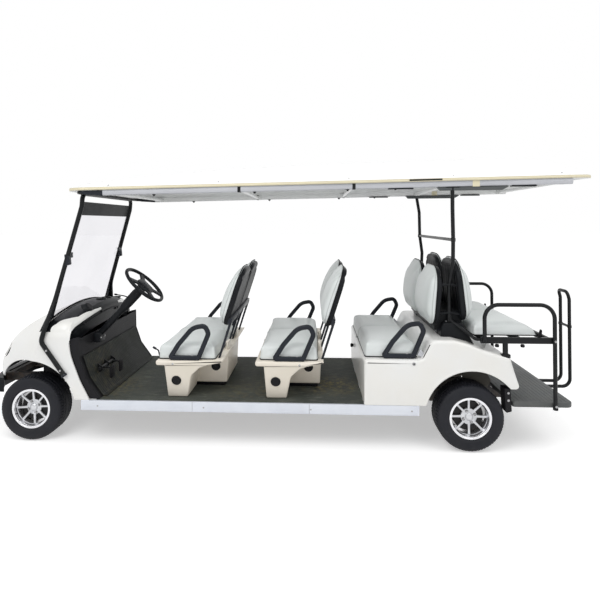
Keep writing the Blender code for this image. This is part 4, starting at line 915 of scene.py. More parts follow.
# -------------------------------------------------------------------- wheels
@dataclass
class RoadWheel:
    """A tyre on an eight-spoke rim, with the dark drum behind the spokes."""

    where: str
    side_name: str
    side: int
    pitches: int = 64
    per_pitch: int = 5
    spokes: int = 8
    groove: float = 0.0048
    sipe: float = 0.0028
    inner_ring: tuple[float, float] = (0.0195, 0.0255)
    outer_ring: tuple[float, float] = (0.0525, 0.0585)
    slots: tuple[float, float] = (0.2165, 0.2240)
    slot_foot: float = 0.0012
    tread_radius: float = 0.2295
    nuts: int = 4
    nut_circle: float = 0.0405
    valve_reach: float = 0.1232
    valve_turn: float = math.radians(200)

    @property
    def name(self) -> str:
        """Return the wheel's place, such as front_left."""
        return f"{self.where}_{self.side_name}"

    @property
    def centre(self) -> Point:
        """Return the middle of the wheel."""
        return tuple(middle(f"tyre_{self.name}"))

    def tyre(self) -> bpy.types.Object:
        """Turn the tyre's section; grooves and shoulder slots lower the tread.

        Each point lies at its section radius less the groove depth, where a groove
        runs round the tread, or less the slot depth, one step in every pitch.
        """
        wall = np.array([(0.1277, 0.0850), (0.1425, 0.0852), (0.1462, 0.0905), (0.1500, 0.0962),
                         (0.1600, 0.1006), (0.1720, 0.1024), (0.1860, 0.1021), (0.1990, 0.1004),
                         (0.2090, 0.0972), (0.2170, 0.0915)])
        wall = curve_through(wall, 2)
        shoulder = np.array([(0.2222, 0.0855), (0.2257, 0.0790), (0.2277, 0.0720)])
        edges = [0.0645, 0.0590, 0.0580, 0.0530, 0.0520, 0.0380, 0.0260, 0.0250, 0.0200, 0.0190,
                 0.0095]
        tread = np.array([(self.tread_radius - 0.0010 * (y / 0.065) ** 2, y) for y in edges])
        half = np.concatenate([wall, shoulder, tread])
        section = np.concatenate([half, [(self.tread_radius, 0.0)], (half * (1, -1))[::-1]])
        radius, along = section[:, 0], section[:, 1]
        steps = self.pitches * self.per_pitch
        a = angles(steps)
        phase = np.arange(steps) % self.per_pitch
        off = np.abs(along)
        (in0, in1), (out0, out1) = self.inner_ring, self.outer_ring
        rings = ((off > out0) & (off < out1)) | ((off > in0) & (off < in1))
        shoulder_band = (off > out1) & (radius > self.slots[0])
        centre_band = (off > in1) & (off < out0)
        depth = np.zeros((steps, len(radius)))
        depth[:, rings] = self.groove
        slot = np.where(phase == 0, 1.0, 0.0)[:, None]
        depth[:, shoulder_band] = slot * np.interp(radius[shoulder_band], self.slots,
                                                   (self.slot_foot, self.groove))[None]
        depth[:, centre_band] = np.where(phase == 2, 1.0, 0.0)[:, None] * self.sipe
        reach = radius[None] - depth
        cx, cy, cz = self.centre
        points = np.stack([cx + reach * np.cos(a)[:, None],
                           np.broadcast_to(cy + self.side * along, reach.shape),
                           cz + reach * np.sin(a)[:, None]], -1)
        rubber = TyreFinish(f"tyre rubber {self.where}", (0.010, 0.011, 0.015), 0.55,
                            second=(0.017, 0.018, 0.024), patch_scale=7.0, patch_share=0.7,
                            grain=Grain.RUBBER, depth=0.0005, dust=0.35, dust_top=0.46,
                            dust_colour=(0.04, 0.038, 0.038), hub=(cx, cz), specular=0.25)
        shape = Shape().grid(points, wrap_rows=True, caps=False)
        return shape.made(f"tread_tyre_{self.name}", [rubber], sharp=28)

    def rim(self) -> bpy.types.Object:
        """Turn the stepped barrel and hub, and loft eight crowned spokes between them."""
        cx, cy, cz = self.centre
        axis = (0.0, float(self.side), 0.0)
        shape = Shape()
        barrel = loop([
            (0.1425, 0.0888, 0.001), (0.1345, 0.0885, 0.002), (0.1322, 0.0800, 0.003),
            (0.1262, 0.0782, 0.003), (0.1222, 0.0600, 0.004), (0.1185, 0.0540, 0.003),
            (0.1185, -0.0840, 0.003), (0.1425, -0.0885, 0.001), (0.1425, -0.0862),
            (0.1268, -0.0862), (0.1268, 0.0862), (0.1425, 0.0862)], 3)
        shape.turn(barrel, self.centre, axis, 96, finish=1, ring=True)
        hub = [(0.0, 0.0640), (0.010, 0.0636), (0.019, 0.0612), (0.0255, 0.0560), (0.0275, 0.0515),
               (0.0290, 0.0505), (0.0520, 0.0475), (0.0545, 0.0455), (0.0545, 0.0300),
               (0.0220, 0.0285), (0.0220, 0.0415), (0.0, 0.0415)]
        shape.turn(curve_through(np.array(hub[:6]), 3).tolist() + hub[6:], self.centre, axis, 64)
        share = np.linspace(0, 1, 12)
        reach = 0.046 + share * (0.1205 - 0.046)
        width = 0.0072 + 0.0028 * (1 - share) ** 2 + 0.0030 * share ** 4
        level = 0.0395 + 0.0060 * share
        section = oval(1.0, 1.0, 14, 2.6)
        for k in range(self.spokes):
            turn = 2 * math.pi * k / self.spokes + (0.0 if self.where == "rear" else 0.06)
            out = np.array((math.cos(turn), 0.0, math.sin(turn)))
            flat = np.array((-math.sin(turn), 0.0, math.cos(turn)))
            shape.grid(spoke(np.array(self.centre), (out, flat, np.array(axis)),
                             (reach, width, level), 0.0085, section))
        cup = [(0, 0.0004), (0.0100, 0.0004), (0.0108, 0.0024), (0.0086, 0.0024),
               (0.0086, 0.0008), (0, 0.0008)]
        for k in range(self.nuts):
            turn = 2 * math.pi * (k + 0.5) / self.nuts - math.pi / self.spokes
            nut = (cx + self.nut_circle * math.cos(turn), cy + self.side * 0.0475,
                   cz + self.nut_circle * math.sin(turn))
            shape.turn(cup, nut, axis, 20, finish=2)
            shape.bolt(nut, axis, 0.0062, 0.0095, finish=3)
        drum = [(0.0225, 0.0215), (0.0700, 0.0230), (0.1020, 0.0200), (0.1060, 0.0120),
                (0.1060, -0.0270), (0.0225, -0.0285)]
        shape.turn(drum, self.centre, axis, 48, finish=2, ring=True)
        turn = self.valve_turn
        valve = (cx + self.valve_reach * math.cos(turn), cy + self.side * 0.068,
                 cz + self.valve_reach * math.sin(turn))
        stem = [(0, 0.0), (0.0052, 0.0), (0.0046, 0.006), (0.0030, 0.010), (0.0028, 0.024),
                (0.0034, 0.025), (0.0034, 0.031), (0, 0.032)]
        shape.turn(stem, valve, (-0.25 * math.cos(turn), self.side, -0.25 * math.sin(turn)), 14,
                   finish=2)
        return shape.made(f"spoked_rim_{self.name}", [RIM_SILVER, RIM_POLISHED, DRUM_DARK, STEEL])

    def build(self) -> None:
        """Make the wheel and ride it on its body."""
        body = f"wheel_{self.name}"
        settled(self.tyre(), "tyre_rubber", body, f"tyre_{self.name}")
        settled(self.rim(), "alloy_rim", body, f"rim_{self.name}")


# -------------------------------------------------------------- running gear
@dataclass
class RunningGear:
    """Axles, knuckles, U-bolts, motor, frame and battery set under the cart."""

    u_bolt: float = 0.004
    u_bolt_half: float = 0.026
    spring_y: float = 0.19
    spring_z: float = 0.302
    motor_ribs: int = 15
    cases: int = 4
    case_gap: float = 0.004

    def castings(self) -> None:
        """Soften the axles and knuckles where they stand."""
        for node in ("front_axle", "rear_axle"):
            refined(node, f"cast_{node}", CAST_IRON, 0.003, slot="running_gear")
        for side_name, _ in SIDES:
            name = f"knuckle_{side_name}"
            refined(name, f"cast_{name}", CAST_IRON, 0.0015, name, "running_gear")

    def springs(self) -> None:
        """Clamp each spring to its axle with two U-bolts and their nuts."""
        rail_y, half = middle("chassis_frame").y + self.spring_y, self.u_bolt_half
        shape = Shape()
        for station in (0.0, WHEELBASE):
            for side in BOTH:
                for dx in (-0.035, 0.035):
                    x, y, z = station + dx, side * rail_y, self.spring_z
                    shape.tube([(x, y - half, z - 0.075), (x, y - half, z + 0.006),
                                (x, y + half, z + 0.006), (x, y + half, z - 0.075)],
                               self.u_bolt, 0.006, 8, (1, 0, 0), steps=3)
                    for dy in (-half, half):
                        shape.bolt(at(x, y + dy, z - 0.074), (0, 0, -1), 0.007, 0.008)
        shape.stand("spring_u_bolts", [STEEL], "running_gear")

    def motor(self) -> None:
        """Turn the motor's drum with its cooling ribs, end bell and terminals."""
        low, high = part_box("drive_motor")
        length, centre = high.x - low.x, (low.x, (low.y + high.y) / 2, (low.z + high.z) / 2)
        r = (high.z - low.z) / 2
        ribs = np.linspace(0.22, 0.78, self.motor_ribs)
        wave = np.array([(r - (0.006 if k % 2 else 0.0), s * length) for k, s in enumerate(ribs)])
        profile = [(0, 0.002), (0.028, 0.002), (0.030, 0.010), (r * 0.72, 0.012),
                   (r * 0.93, 0.028), (r * 0.96, 0.050), *wave.tolist(),
                   (r * 0.96, length - 0.035), (r, length - 0.030), (r, length - 0.002),
                   (0, length - 0.002)]
        shape = Shape().turn(profile, centre, (1, 0, 0), 48)
        for dy in (-0.035, 0.0, 0.035):
            base = (centre[0] + length * 0.16, centre[1] + dy, centre[2] + r * 0.88)
            shape.turn([(0, 0), (0.008, 0), (0.008, 0.004), (0.004, 0.005), (0.004, 0.014),
                        (0, 0.015)], base, (0, 0, 1), 12, finish=1)
        shape.stand("ribbed_drive_motor", [CAST_IRON, STEEL], "running_gear", "drive_motor")

    def battery(self) -> None:
        """Build the battery set: cases side by side, each with filler caps and posts."""
        low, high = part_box("battery_pack")
        gap, width = self.case_gap, (high.y - low.y) / self.cases
        shape = Shape()
        for k in range(self.cases):
            y0, y1 = low.y + k * width + gap, low.y + (k + 1) * width - gap
            outline = rounded_rectangle((low.x, high.x), (y0, y1), 0.012, 4)
            shape.grid(slab(outline, low.z, high.z - 0.030, 0.004, 2))
            lid = rounded_rectangle((low.x + 0.004, high.x - 0.004), (y0 + 0.004, y1 - 0.004),
                                    0.010, 4)
            shape.grid(slab(lid, high.z - 0.034, high.z - 0.014, 0.003, 2))
            for j in range(3):
                x = low.x + 0.06 + j * (high.x - low.x - 0.12) / 2
                cap = [(0, 0), (0.014, 0), (0.014, 0.006), (0.010, 0.008), (0, 0.008)]
                shape.turn(cap, (x, (y0 + y1) / 2, high.z - 0.016), (0, 0, 1), 16, finish=1)
            for x in (low.x + 0.03, high.x - 0.03):
                post = [(0, 0), (0.008, 0), (0.007, 0.012), (0, 0.013)]
                shape.turn(post, (x, y0 + 0.03, high.z - 0.016), (0, 0, 1), 14, finish=2)
        shape.stand("battery_cases", [BLACK_MOULDED, AMBER, STEEL], "black_plastic",
                    "battery_pack")

    def build(self) -> None:
        """Make every piece under the cart."""
        self.castings()
        self.springs()
        self.motor()
        self.battery()
        refined("chassis_frame", "welded_chassis_frame", CHASSIS_PAINT, 0.002,
                slot="black_steel")


# ------------------------------------------------- heights that pieces share
def cowl_drop(y: float | Array, half: float = COWL_HALF) -> float | Array:
    """Return the fall of the cowl's top: a crown of y squared, then a round edge."""
    over = np.clip(np.abs(y) - (half - COWL_EDGE), 0.0, COWL_EDGE)
    return COWL_CROWN * (y / half) ** 2 + COWL_EDGE - np.sqrt(COWL_EDGE ** 2 - over ** 2)


def rim_height(station: float | Array) -> float | Array:
    """Return the height of the roof's rim: it rises evenly rearwards."""
    return RIM_Z + RIM_RISE * station


def strut_station(z: float | Array) -> float | Array:
    """Return the station of the front strut at a height: it leans evenly rearwards."""
    return 0.098 + 0.2755 * (z - 0.79)


# ---------------------------------------------------------------------- roof
@dataclass
class Roof:
    """Crowned roof moulding with a cream rim, on grey gutter rails and cross tubes."""

    half: float = ROOF_HALF
    sections: tuple = ((0.27, 0.120, 0.012), (0.30, 0.055, 0.034), (0.365, 0.010, 0.055),
                       (0.48, 0.0, 0.080), (0.85, 0.0, 0.114), (1.30, 0.0, 0.143),
                       (1.95, 0.0, 0.165), (2.70, 0.0, 0.172), (3.40, 0.0, 0.172),
                       (3.68, 0.0, 0.155), (3.82, 0.002, 0.112), (3.90, 0.020, 0.068),
                       (3.95, 0.080, 0.020))
    gutter_y: float = ROOF_HALF - 0.030
    gutter: tuple[float, float] = (0.56, 3.80)
    screws: tuple[float, ...] = (0.60, 1.39, 2.30, 3.01, 3.73)
    screw_share: float = 0.965
    strip: tuple[float, float] = (2.71, 2.93)
    power: float = 3.2
    lip: float = 0.008
    thick: float = 0.012

    def shell(self) -> None:
        """Loft the moulding: z = rim + crown (1 - |f| to the power 3.2) across each station.

        f runs from -1 to 1 over the half width, and stations follow a smooth curve
        through the sections.  A fine crease runs lengthwise near each side.
        """
        control = np.array(self.sections)
        rows = curve_through(control, 6)
        x, inset, crown = rows[:, 0], np.maximum(rows[:, 1], 0.0), rows[:, 2]
        f = np.sin(np.linspace(-1, 1, 75) * np.pi / 2)
        f = np.sign(f) * np.abs(f) ** 0.9
        half = (self.half - inset)[:, None]
        rim = rim_height(x)[:, None]
        rise = crown[:, None] * (1 - np.abs(f)[None] ** self.power)
        crease = 0.0025 * np.exp(-(((np.abs(f) - 0.80) / 0.012) ** 2))
        sunk = crease[None] * np.minimum(crown[:, None] / 0.1, 1)
        top = np.stack([np.broadcast_to(x[:, None], rise.shape), half * f[None],
                        rim + self.lip + rise - sunk], -1)
        edge = ((-0.002, 0.004), (0.0, 0.001), (0.0, -0.006), (-0.002, -0.0105),
                (-0.006, -0.012))
        right = np.stack([np.stack([x, half[:, 0] + out, rim[:, 0] + down], -1)
                          for out, down in edge], 1)
        left = right[:, ::-1] * (1, -1, 1)
        g = f[3:-3:3][::-1]
        inner = np.maximum(crown - 0.014, 0.0)[:, None] * (1 - np.abs(g)[None] ** self.power)
        under = np.stack([np.broadcast_to(x[:, None], inner.shape),
                          (half - self.thick) * g[None],
                          rim - self.thick + inner * (np.abs(g)[None] < 0.93)], -1)
        ring = shifted(np.concatenate([top, right, under, left], 1))
        count = ring.shape[1]
        column = np.zeros(count, int)
        column[len(f) - 1:len(f) + 4] = 1
        column[count - 5:] = 1
        finish = np.broadcast_to(column, (len(x) - 1, count)).reshape(-1)
        shape = Shape().grid(ring, finish=finish)
        for station in self.screws:
            for side in BOTH:
                f0 = self.screw_share
                z = (rim_height(station) + self.lip
                     + 0.150 * (1 - f0 ** self.power) * min(station + 0.1, 1))
                shape.turn([(0, 0.0035), (0.004, 0.0032), (0.0065, 0.0), (0.0065, -0.006),
                            (0, -0.006)], at(station, side * self.half * f0, z),
                           (0, side * 0.75, 0.66), 14, finish=2)
        for side in BOTH:
            x = np.linspace(*self.strip, 8)
            path = np.stack([x, np.full(8, side * (self.half + 0.001)), rim_height(x) - 0.001], -1)
            shape.grid(carried(shifted(path), oval(0.0025, 0.005, 8, 3)), finish=3)
        shape.stand("crowned_roof", [ROOF_WHITE, ROOF_CREAM, STEEL, BLACK_MOULDED], "roof_white",
                    "roof", sharp=50)

    def rails(self) -> None:
        """Carry the gutter's rounded section along both sides, its inner half painted light in
        roof white, and fit its hardware.
        """
        shape = Shape()
        top = rim_height(0.0) - RAIL_TOP
        section = np.array([(0.0, 0.040), (-0.013, 0.040), (-0.015, 0.037), (-0.015, 0.012),
                            (-0.012, 0.004), (-0.006, 0.0), (0.006, 0.0), (0.012, 0.004),
                            (0.015, 0.012), (0.015, 0.037), (0.013, 0.040)])
        x = np.linspace(*self.gutter, 40)
        for side in BOTH:
            rows = np.stack([np.broadcast_to(x[:, None], (40, 11)),
                             side * (self.gutter_y + np.broadcast_to(section[:, 0], (40, 11))),
                             top - RAIL_TALL + RIM_RISE * x[:, None] + section[:, 1]], -1)
            # The inner half of each gutter's section takes the white roof finish instead of the
            # grey: painted light, so the far gutter's shaded inner face looks bright.
            inner = (np.arange(11) > 0) & (np.arange(11) < 6)
            shape.grid(shifted(rows), finish=np.tile(np.where(inner, 3, 0), 39))
            for station, wide, finish in ((1.536, 0.011, 1), (2.335, 0.011, 1), (3.161, 0.024, 2)):
                z = top + RIM_RISE * station
                outline = rounded_rectangle((station - wide, station + wide), (z - 0.0415, z),
                                            0.002)
                shape.plate(outline, side * (self.gutter_y - 0.017),
                            side * (self.gutter_y + 0.0165), 0.001, finish=finish)
            for station in (0.927, 1.644, 2.292, 2.619, 3.05):
                z = top + RIM_RISE * station - RAIL_TALL
                shape.turn([(0, 0.001), (0.012, 0.001), (0.012, -0.004), (0.007, -0.006),
                            (0.007, -0.011), (0, -0.013)],
                           at(station, side * (self.gutter_y - 0.001), z), (0, 0, 1), 14, 1)
        for station in (self.gutter[0] + 0.06, 1.54, 2.33, 3.00, self.gutter[1] - 0.06):
            z = rim_height(station) - CROSS_DROP
            y = self.gutter_y - 0.012
            shape.tube([(station, -y, z), (station, y, z)], 0.0125, sides=18, start=(1, 0, 0),
                       finish=3)
            for side in BOTH:
                shape.block((station - 0.022, station + 0.022), (side * (y - 0.030), side * y),
                            (z - 0.017, z + 0.017), 0.002, 3)
        shape.stand("gutter_rails", [GUTTER_GREY, BLACK_TUBE, ROOF_CREAM, ROOF_WHITE], "roof_rail",
                    "roof_frame")

    def fittings(self) -> None:
        """Fit the wiring box and strips under the rails by the rear struts."""
        shape = Shape()
        for side in BOTH:
            z = rim_height(3.15) - RAIL_TOP - RAIL_TALL
            outline = loop([(2.90, z - 0.002, 0.002), (2.925, z - 0.026, 0.010),
                            (3.34, z - 0.024, 0.012), (3.385, z + 0.002, 0.002)], 4)
            across = (side * (self.gutter_y - 0.030), side * (self.gutter_y + 0.012))
            shape.plate(outline, *across, 0.003)
            for spot, first, last, tall, corner in ((3.48, 3.40, 3.565, 0.008, 0.003),
                                                    (2.65, 2.57, 2.74, 0.006, 0.002)):
                z = rim_height(spot) - RAIL_FOOT
                strip = rounded_rectangle((first, last), (z - tall, z + 0.001), corner)
                shape.plate(strip, *across, 0.002, finish=1)
        shape.stand("under_rail_boxes", [STEP_GREY, BLACK_MOULDED], "black_plastic")

    def build(self) -> None:
        """Make the whole roof."""
        self.shell()
        self.rails()
        self.fittings()


# --------------------------------------------------------- roof frames, screen
@dataclass
class RoofFrames:
    """Front and rear strut frames and the clear screen between the front struts."""

    tube: float = 0.0135
    front_tube: float = 0.0165
    top_y: float = ROOF_HALF - 0.135
    low_y: float = BODY_HALF + 0.0018
    gutter_y: float = ROOF_HALF - 0.030
    screen_top: float = 1.735
    band_foot: float = 1.635
    bar: tuple[float, float] = (WHEELBASE - 0.10, 1.45)
    stand: float = 3.012

    def front(self) -> None:
        """Bend the front struts from the cowl's sides to the gutter rails."""
        top_z = rim_height(0.56) - CROSS_DROP
        shape = Shape()
        for side in BOTH:
            path = [(0.360, 0.0, top_z + 0.004), (0.360, side * self.top_y, top_z + 0.004, 0.045),
                    (strut_station(1.70) + 0.004, side * self.top_y, 1.70, 0.10),
                    (strut_station(1.02), side * (self.top_y + 0.015), 1.02, 0.20),
                    (strut_station(0.80) + 0.028, side * self.low_y, 0.80, 0.10),
                    (strut_station(0.73) + 0.025, side * self.low_y, 0.73, 0.06),
                    (0.280, side * self.low_y, 0.49, 0.0)]
            shape.tube(path, self.front_tube, 0.05, 20, (1, 0, 0))
            shape.tube([(0.362, side * (self.top_y - 0.012), top_z + 0.006),
                        (0.372, side * self.gutter_y, top_z + 0.006, 0.03),
                        (0.5597, side * self.gutter_y, top_z)], 0.0125, 0.03, 16, (1, 0, 0))
            outline = loop([(0.395, top_z + 0.016, 0.003), (0.395, top_z + 0.004, 0.008),
                            (0.42, top_z - 0.010, 0.02), (0.5597, top_z - 0.018, 0.003),
                            (0.5597, top_z + 0.020, 0.003)], 4)
            shape.plate(outline, side * (self.gutter_y - 0.013), side * (self.gutter_y + 0.013),
                        0.003, finish=1)
            line = np.linspace(0.0, 1.0, 24)
            z = 0.80 + line * 0.83
            strut_y = np.interp(z, (0.80, 1.02, 1.70),
                                (self.low_y, self.top_y + 0.015, self.top_y))
            inner = np.full(24, self.top_y - 0.030)
            mid = np.stack([strut_station(z) - 0.003, side * (strut_y + inner) / 2, z], -1)
            wide = ((strut_y - inner) / 2)[:, None]
            section = oval(1.0, 1.0, 12, 5)
            rows = shifted(mid)[:, None] + np.stack([
                np.broadcast_to(0.0035 * section[None, :, 0], (24, 12)),
                wide * section[None, :, 1], np.zeros((24, 12))], -1)
            shape.grid(rows, finish=1)
            x = strut_station(1.34)
            shape.block((x + 0.0058, x + 0.0160),
                        (side * (self.top_y - 0.045), side * (self.top_y + 0.016)),
                        (1.32, 1.36), 0.003, 1, 0.003)
            shape.bolt(at(x + 0.016, side * (self.top_y - 0.032), 1.34), (1, 0, 0), 0.005,
                       0.004, 2)
            x = strut_station(1.309)
            outline = loop([(x - 0.012, 1.352, 0.006), (x + 0.024, 1.336, 0.006),
                            (x + 0.030, 1.272, 0.006), (x - 0.002, 1.264, 0.006)], 4)
            shape.plate(outline, side * (self.top_y - 0.012), side * (self.top_y + 0.024), 0.004,
                        finish=1)
            for z in (0.67, 0.53):
                x = 0.1065 + (0.73 - z) * 0.723 + 0.004
                shape.bolt(at(x, side * (self.low_y + 0.0145), z), (0, side, 0), 0.006, 0.005, 2)
            foot = [(0.0, 0.0), (0.021, 0.0), (0.021, 0.012), (0.0172, 0.018), (0.0, 0.018)]
            shape.turn(foot, at(0.2825, side * self.low_y, 0.4865), (-0.586, 0, 0.810), 20, 1)
        shape.stand("front_strut_frame", [BLACK_TUBE, ARM_BLACK, STEEL], "black_steel",
                    "front_roof_frame")

    def screen(self) -> None:
        """Stand the clear sheet on the cowl's crown, with a dark top band and edge seals."""
        half, thick, rows = self.top_y - 0.023, 0.006, 24
        y = np.linspace(-half, half, 41)
        low = COWL_TOP - cowl_drop(y) + 0.0012
        share = np.linspace(0, 1, rows)[:, None]
        z = low[None] + share * (self.band_foot - low)[None]
        x = strut_station(z)

        def sheet(front: Array, height: Array) -> Array:
            """Give a sheet its thickness: each column's front and rear points in one ring."""
            side = np.broadcast_to(y, front.shape)
            back = np.stack([front, side, height], -1)
            ahead = np.stack([front - thick, side, height], -1)[:, ::-1]
            return shifted(np.concatenate([back, ahead], 1))

        clear = Shape().grid(sheet(x, z)).made("clear_screen_sheet", [CLEAR_SHEET])
        settled(clear, "clear_screen", CHASSIS, "windshield")
        band = Shape()
        z = np.broadcast_to(np.array([[self.band_foot + 0.0004], [self.screen_top]]), (2, 41))
        band.grid(sheet(strut_station(z), z))
        line = np.linspace(0.0, 1.0, 30)
        for side in BOTH:
            z = low[0] + 0.002 + line * (self.band_foot - low[0])
            path = np.stack([strut_station(z) - thick / 2, np.full(30, side * (half + 0.0035)), z],
                            -1)
            band.grid(carried(shifted(path), oval(0.0055, 0.0065, 12, 4)), finish=1)
        foot = np.stack([strut_station(low + 0.006) - thick / 2, y, low + 0.0062], -1)
        band.grid(carried(shifted(foot), oval(0.0055, 0.0065, 12, 4), (1, 0, 0)), finish=1)
        band.stand("screen_band_and_seal", [BLACK_MOULDED, LINING], "black_plastic")

    def rear(self) -> None:
        """Bend the rear struts, their cross bar and the braces down to the bench."""
        (bar, bar_z), top = self.bar, WHEELBASE - 0.115
        top_z = rim_height(top) - 0.0126 - RAIL_TALL
        rail_end = WHEELBASE + 0.0697
        shape = Shape()
        for side in BOTH:
            y, y_in, stand = side * (BODY_HALF - 0.055), side * 0.455, self.stand
            shape.tube([(stand, y_in, 0.862), (stand, y_in, 1.12), (3.03, side * 0.50, 1.30),
                        (bar, y, bar_z), (bar - 0.003, y, 1.66),
                        (top, side * self.gutter_y, top_z - 0.02),
                        (top, side * self.gutter_y, top_z)], self.tube, 0.05, 20)
            rail_y, rail_z = side * (BODY_HALF - 0.042), 0.7665
            shape.tube([(stand, y_in, 0.93), (3.02, side * 0.465, 0.875),
                        (rail_end - 0.0247, rail_y, rail_z), (rail_end, rail_y, rail_z)],
                       0.011, 0.03, 16)
            shape.block((stand - 0.03, stand + 0.03), (y_in - 0.022, y_in + 0.022),
                        (0.8615, 0.868), 0.0015, 0, 0.004)
            for dx in (-0.021, 0.021):
                shape.bolt(at(stand + dx, y_in, 0.868), (0, 0, 1), 0.005, 0.005, 1)
            shape.block((top - 0.045, top + 0.045), (side * self.gutter_y - 0.014,
                                                     side * self.gutter_y + 0.014),
                        (top_z - 0.006, top_z), 0.0015)
            shape.turn([(0, -0.012), (0.0165, -0.012), (0.0165, 0.012), (0, 0.012)],
                       at(bar, y, bar_z), (0, 0, 1), 18)
        y = BODY_HALF - 0.055
        shape.tube([(bar, -y, bar_z), (bar, y, bar_z)], 0.0115, sides=18, start=(1, 0, 0))
        shape.stand("rear_strut_frame", [BLACK_TUBE, STEEL], "black_steel", "rear_roof_frame")

    def build(self) -> None:
        """Make both frames and the screen."""
        self.front()
        self.screen()
        self.rear()


# ---------------------------------------------------------------- front body
@dataclass
class FrontBody:
    """Hollow cowl with wheel arches, dashboard, lamps, bumper, firewall and toe board."""

    half: float = COWL_HALF
    top: float = COWL_TOP
    lip: float = 0.400
    nose: float = -0.43
    screen_foot: float = 0.12
    arch: float = TYRE_RADIUS + 0.1305
    lamp_y: float = COWL_HALF - 0.283
    lamp_z: float = 0.400 + 0.20
    lamp_hole: tuple[float, float] = (0.088, 0.056)
    bowl: tuple[float, float] = (0.084, 0.052)
    bonnet: tuple = ((0.71, 0.88), (0.42, 0.70), (0.20, 0.49), (0.055, 0.23), (0.0, 0.04))

    def form(self, inset: float, opened: float = 0.0, rows: int = 65) -> Array:
        """Return the cowl's rings, one for each distance off centre.

        Each ring is the side view at that distance: the door edge, the top, a smooth
        bonnet through its shares of run and rise, the nose, and the lower edge.  The nose
        runs back by the cube of the distance.
        """
        half = self.half - inset
        a = np.linspace(-np.pi / 2, np.pi / 2, rows)
        y = half * np.sin(a)
        top = self.top - np.minimum(cowl_drop(y, half), 0.17) - inset
        nose = self.nose + 0.45 * np.abs(y / half) ** 3 + inset
        low = self.lip + 0.07
        bottom = BODY_FOOT
        hood = [np.stack([np.full_like(y, self.screen_foot), top], -1)]
        hood += [np.stack([nose + run * (self.screen_foot - nose), low + rise * (top - low)], -1)
                 for run, rise in self.bonnet]
        hood += [np.stack([nose + 0.005, np.full_like(y, self.lip + 0.02)], -1)]
        smooth = curve_through(np.stack(hood, 1), 6)
        rings = []
        for i in range(rows):
            corners = [(0.20, bottom - opened, 0.02), (0.455 + opened, bottom - opened, 0.004),
                       (0.385 + opened, 0.45, 0.45), (0.315 + opened, 0.63, 0.35),
                       (0.300 + opened, min(0.76, top[i] - 0.04), 0.05),
                       (0.312 + opened, top[i] - 0.02, 0.003), (0.300, top[i], 0.006),
                       (0.22, top[i])]
            lower = [(nose[i] + 0.04, self.lip - opened),
                     (max(nose[i] + 0.07, -0.20), self.lip - 0.04 - opened)]
            ring = np.concatenate([filleted(corners, 0.0, steps=3), smooth[i], lower])
            rings.append(np.insert(ring, 1, y[i], axis=1))
        return shifted(np.stack(rings))

    @staticmethod
    def bow(y: float | Array) -> float | Array:
        """Return how far the dashboard's rear edge bows forwards at a distance off centre."""
        return 0.062 * (y / 0.56) ** 2

    def dash_form(self, margin: float, rows: int = 49, seat: bool = False) -> Array:
        """Return the dashboard's rings: its side view follows the cowl's crown.

        Args:
            margin: Growth all round.
            rows: Count of rings across.
            seat: Make the shorter, narrower form that the cowl is cut with.

        Returns:
            The rings.
        """
        y = np.linspace(-1, 1, rows) * (self.half - (0.028 if seat else 0.0115) + margin)
        top = self.top - cowl_drop(y)
        low = np.maximum(top - 0.15, 2 * TYRE_RADIUS + 0.1425) - margin
        start, bow = np.full_like(y, 0.165 - margin), self.bow(y)
        if not seat:
            low += (top - 0.028 - low) * eased((np.abs(y) - 0.545) / 0.015)
            start = strut_station(top) + 0.010 - margin
        rings = []
        for i in range(rows):
            rear, front = 0.372 + margin - bow[i], start[i]
            corners = [(0.235, top[i] - 0.022 - margin), (front, top[i] - 0.022 - margin, 0.002),
                       (front, top[i] + 0.004 + margin, 0.010),
                       (0.22, top[i] + 0.016 + margin, 0.2),
                       (rear - 0.042, top[i] + 0.010 + margin, 0.035),
                       (rear, top[i] - 0.020, 0.03),
                       (rear - 0.012, low[i], 0.004), (rear - 0.054 - margin, low[i], 0.003),
                       (rear - 0.064 - margin, top[i] - 0.022 - margin)]
            rings.append(np.insert(filleted(corners, 0.0, steps=4), 1, y[i], axis=1))
        return shifted(np.stack(rings))

    def lamp_bar(self, side: int, margin: float, first: float, last: float) -> Array:
        """Return an oval bar along the cart at the headlight's place."""
        a = angles(48)
        y = side * self.lamp_y + (self.lamp_hole[0] + margin) * np.cos(a)
        z = self.lamp_z + (self.lamp_hole[1] + margin) * np.sin(a)
        return shifted(np.stack([np.stack([np.full_like(y, x), y, z], -1) for x in (first, last)]))

    def cowl(self) -> None:
        """Loft the cowl and cut its hollow, arches, dashboard seat and lamp holes."""
        body = Shape().grid(self.form(0.0)).made("moulded_front_cowl", [WHITE_BODY])
        tools = [Shape().grid(self.form(0.010, 0.12, 41)).made("hollow", [LINING]),
                 Shape().grid(self.dash_form(0.0003, seat=True)).made("seat", [LINING])]
        for side in BOTH:
            wall = Shape()
            wall.turn([(0, 0.0), (self.arch, 0.0), (self.arch, 0.66), (0, 0.66)],
                      at(0.0, side * 0.26, TYRE_RADIUS), (0, side, 0), 96)
            tools.append(wall.made("arch", [WHITE_BODY]))
            tools.append(Shape().grid(self.lamp_bar(side, 0.0003, -0.50, -0.10)).made(
                "lamp_hole", [WHITE_BODY]))
        carved(body, tools)
        settled(body, "white_panel", CHASSIS, "front_cowl")

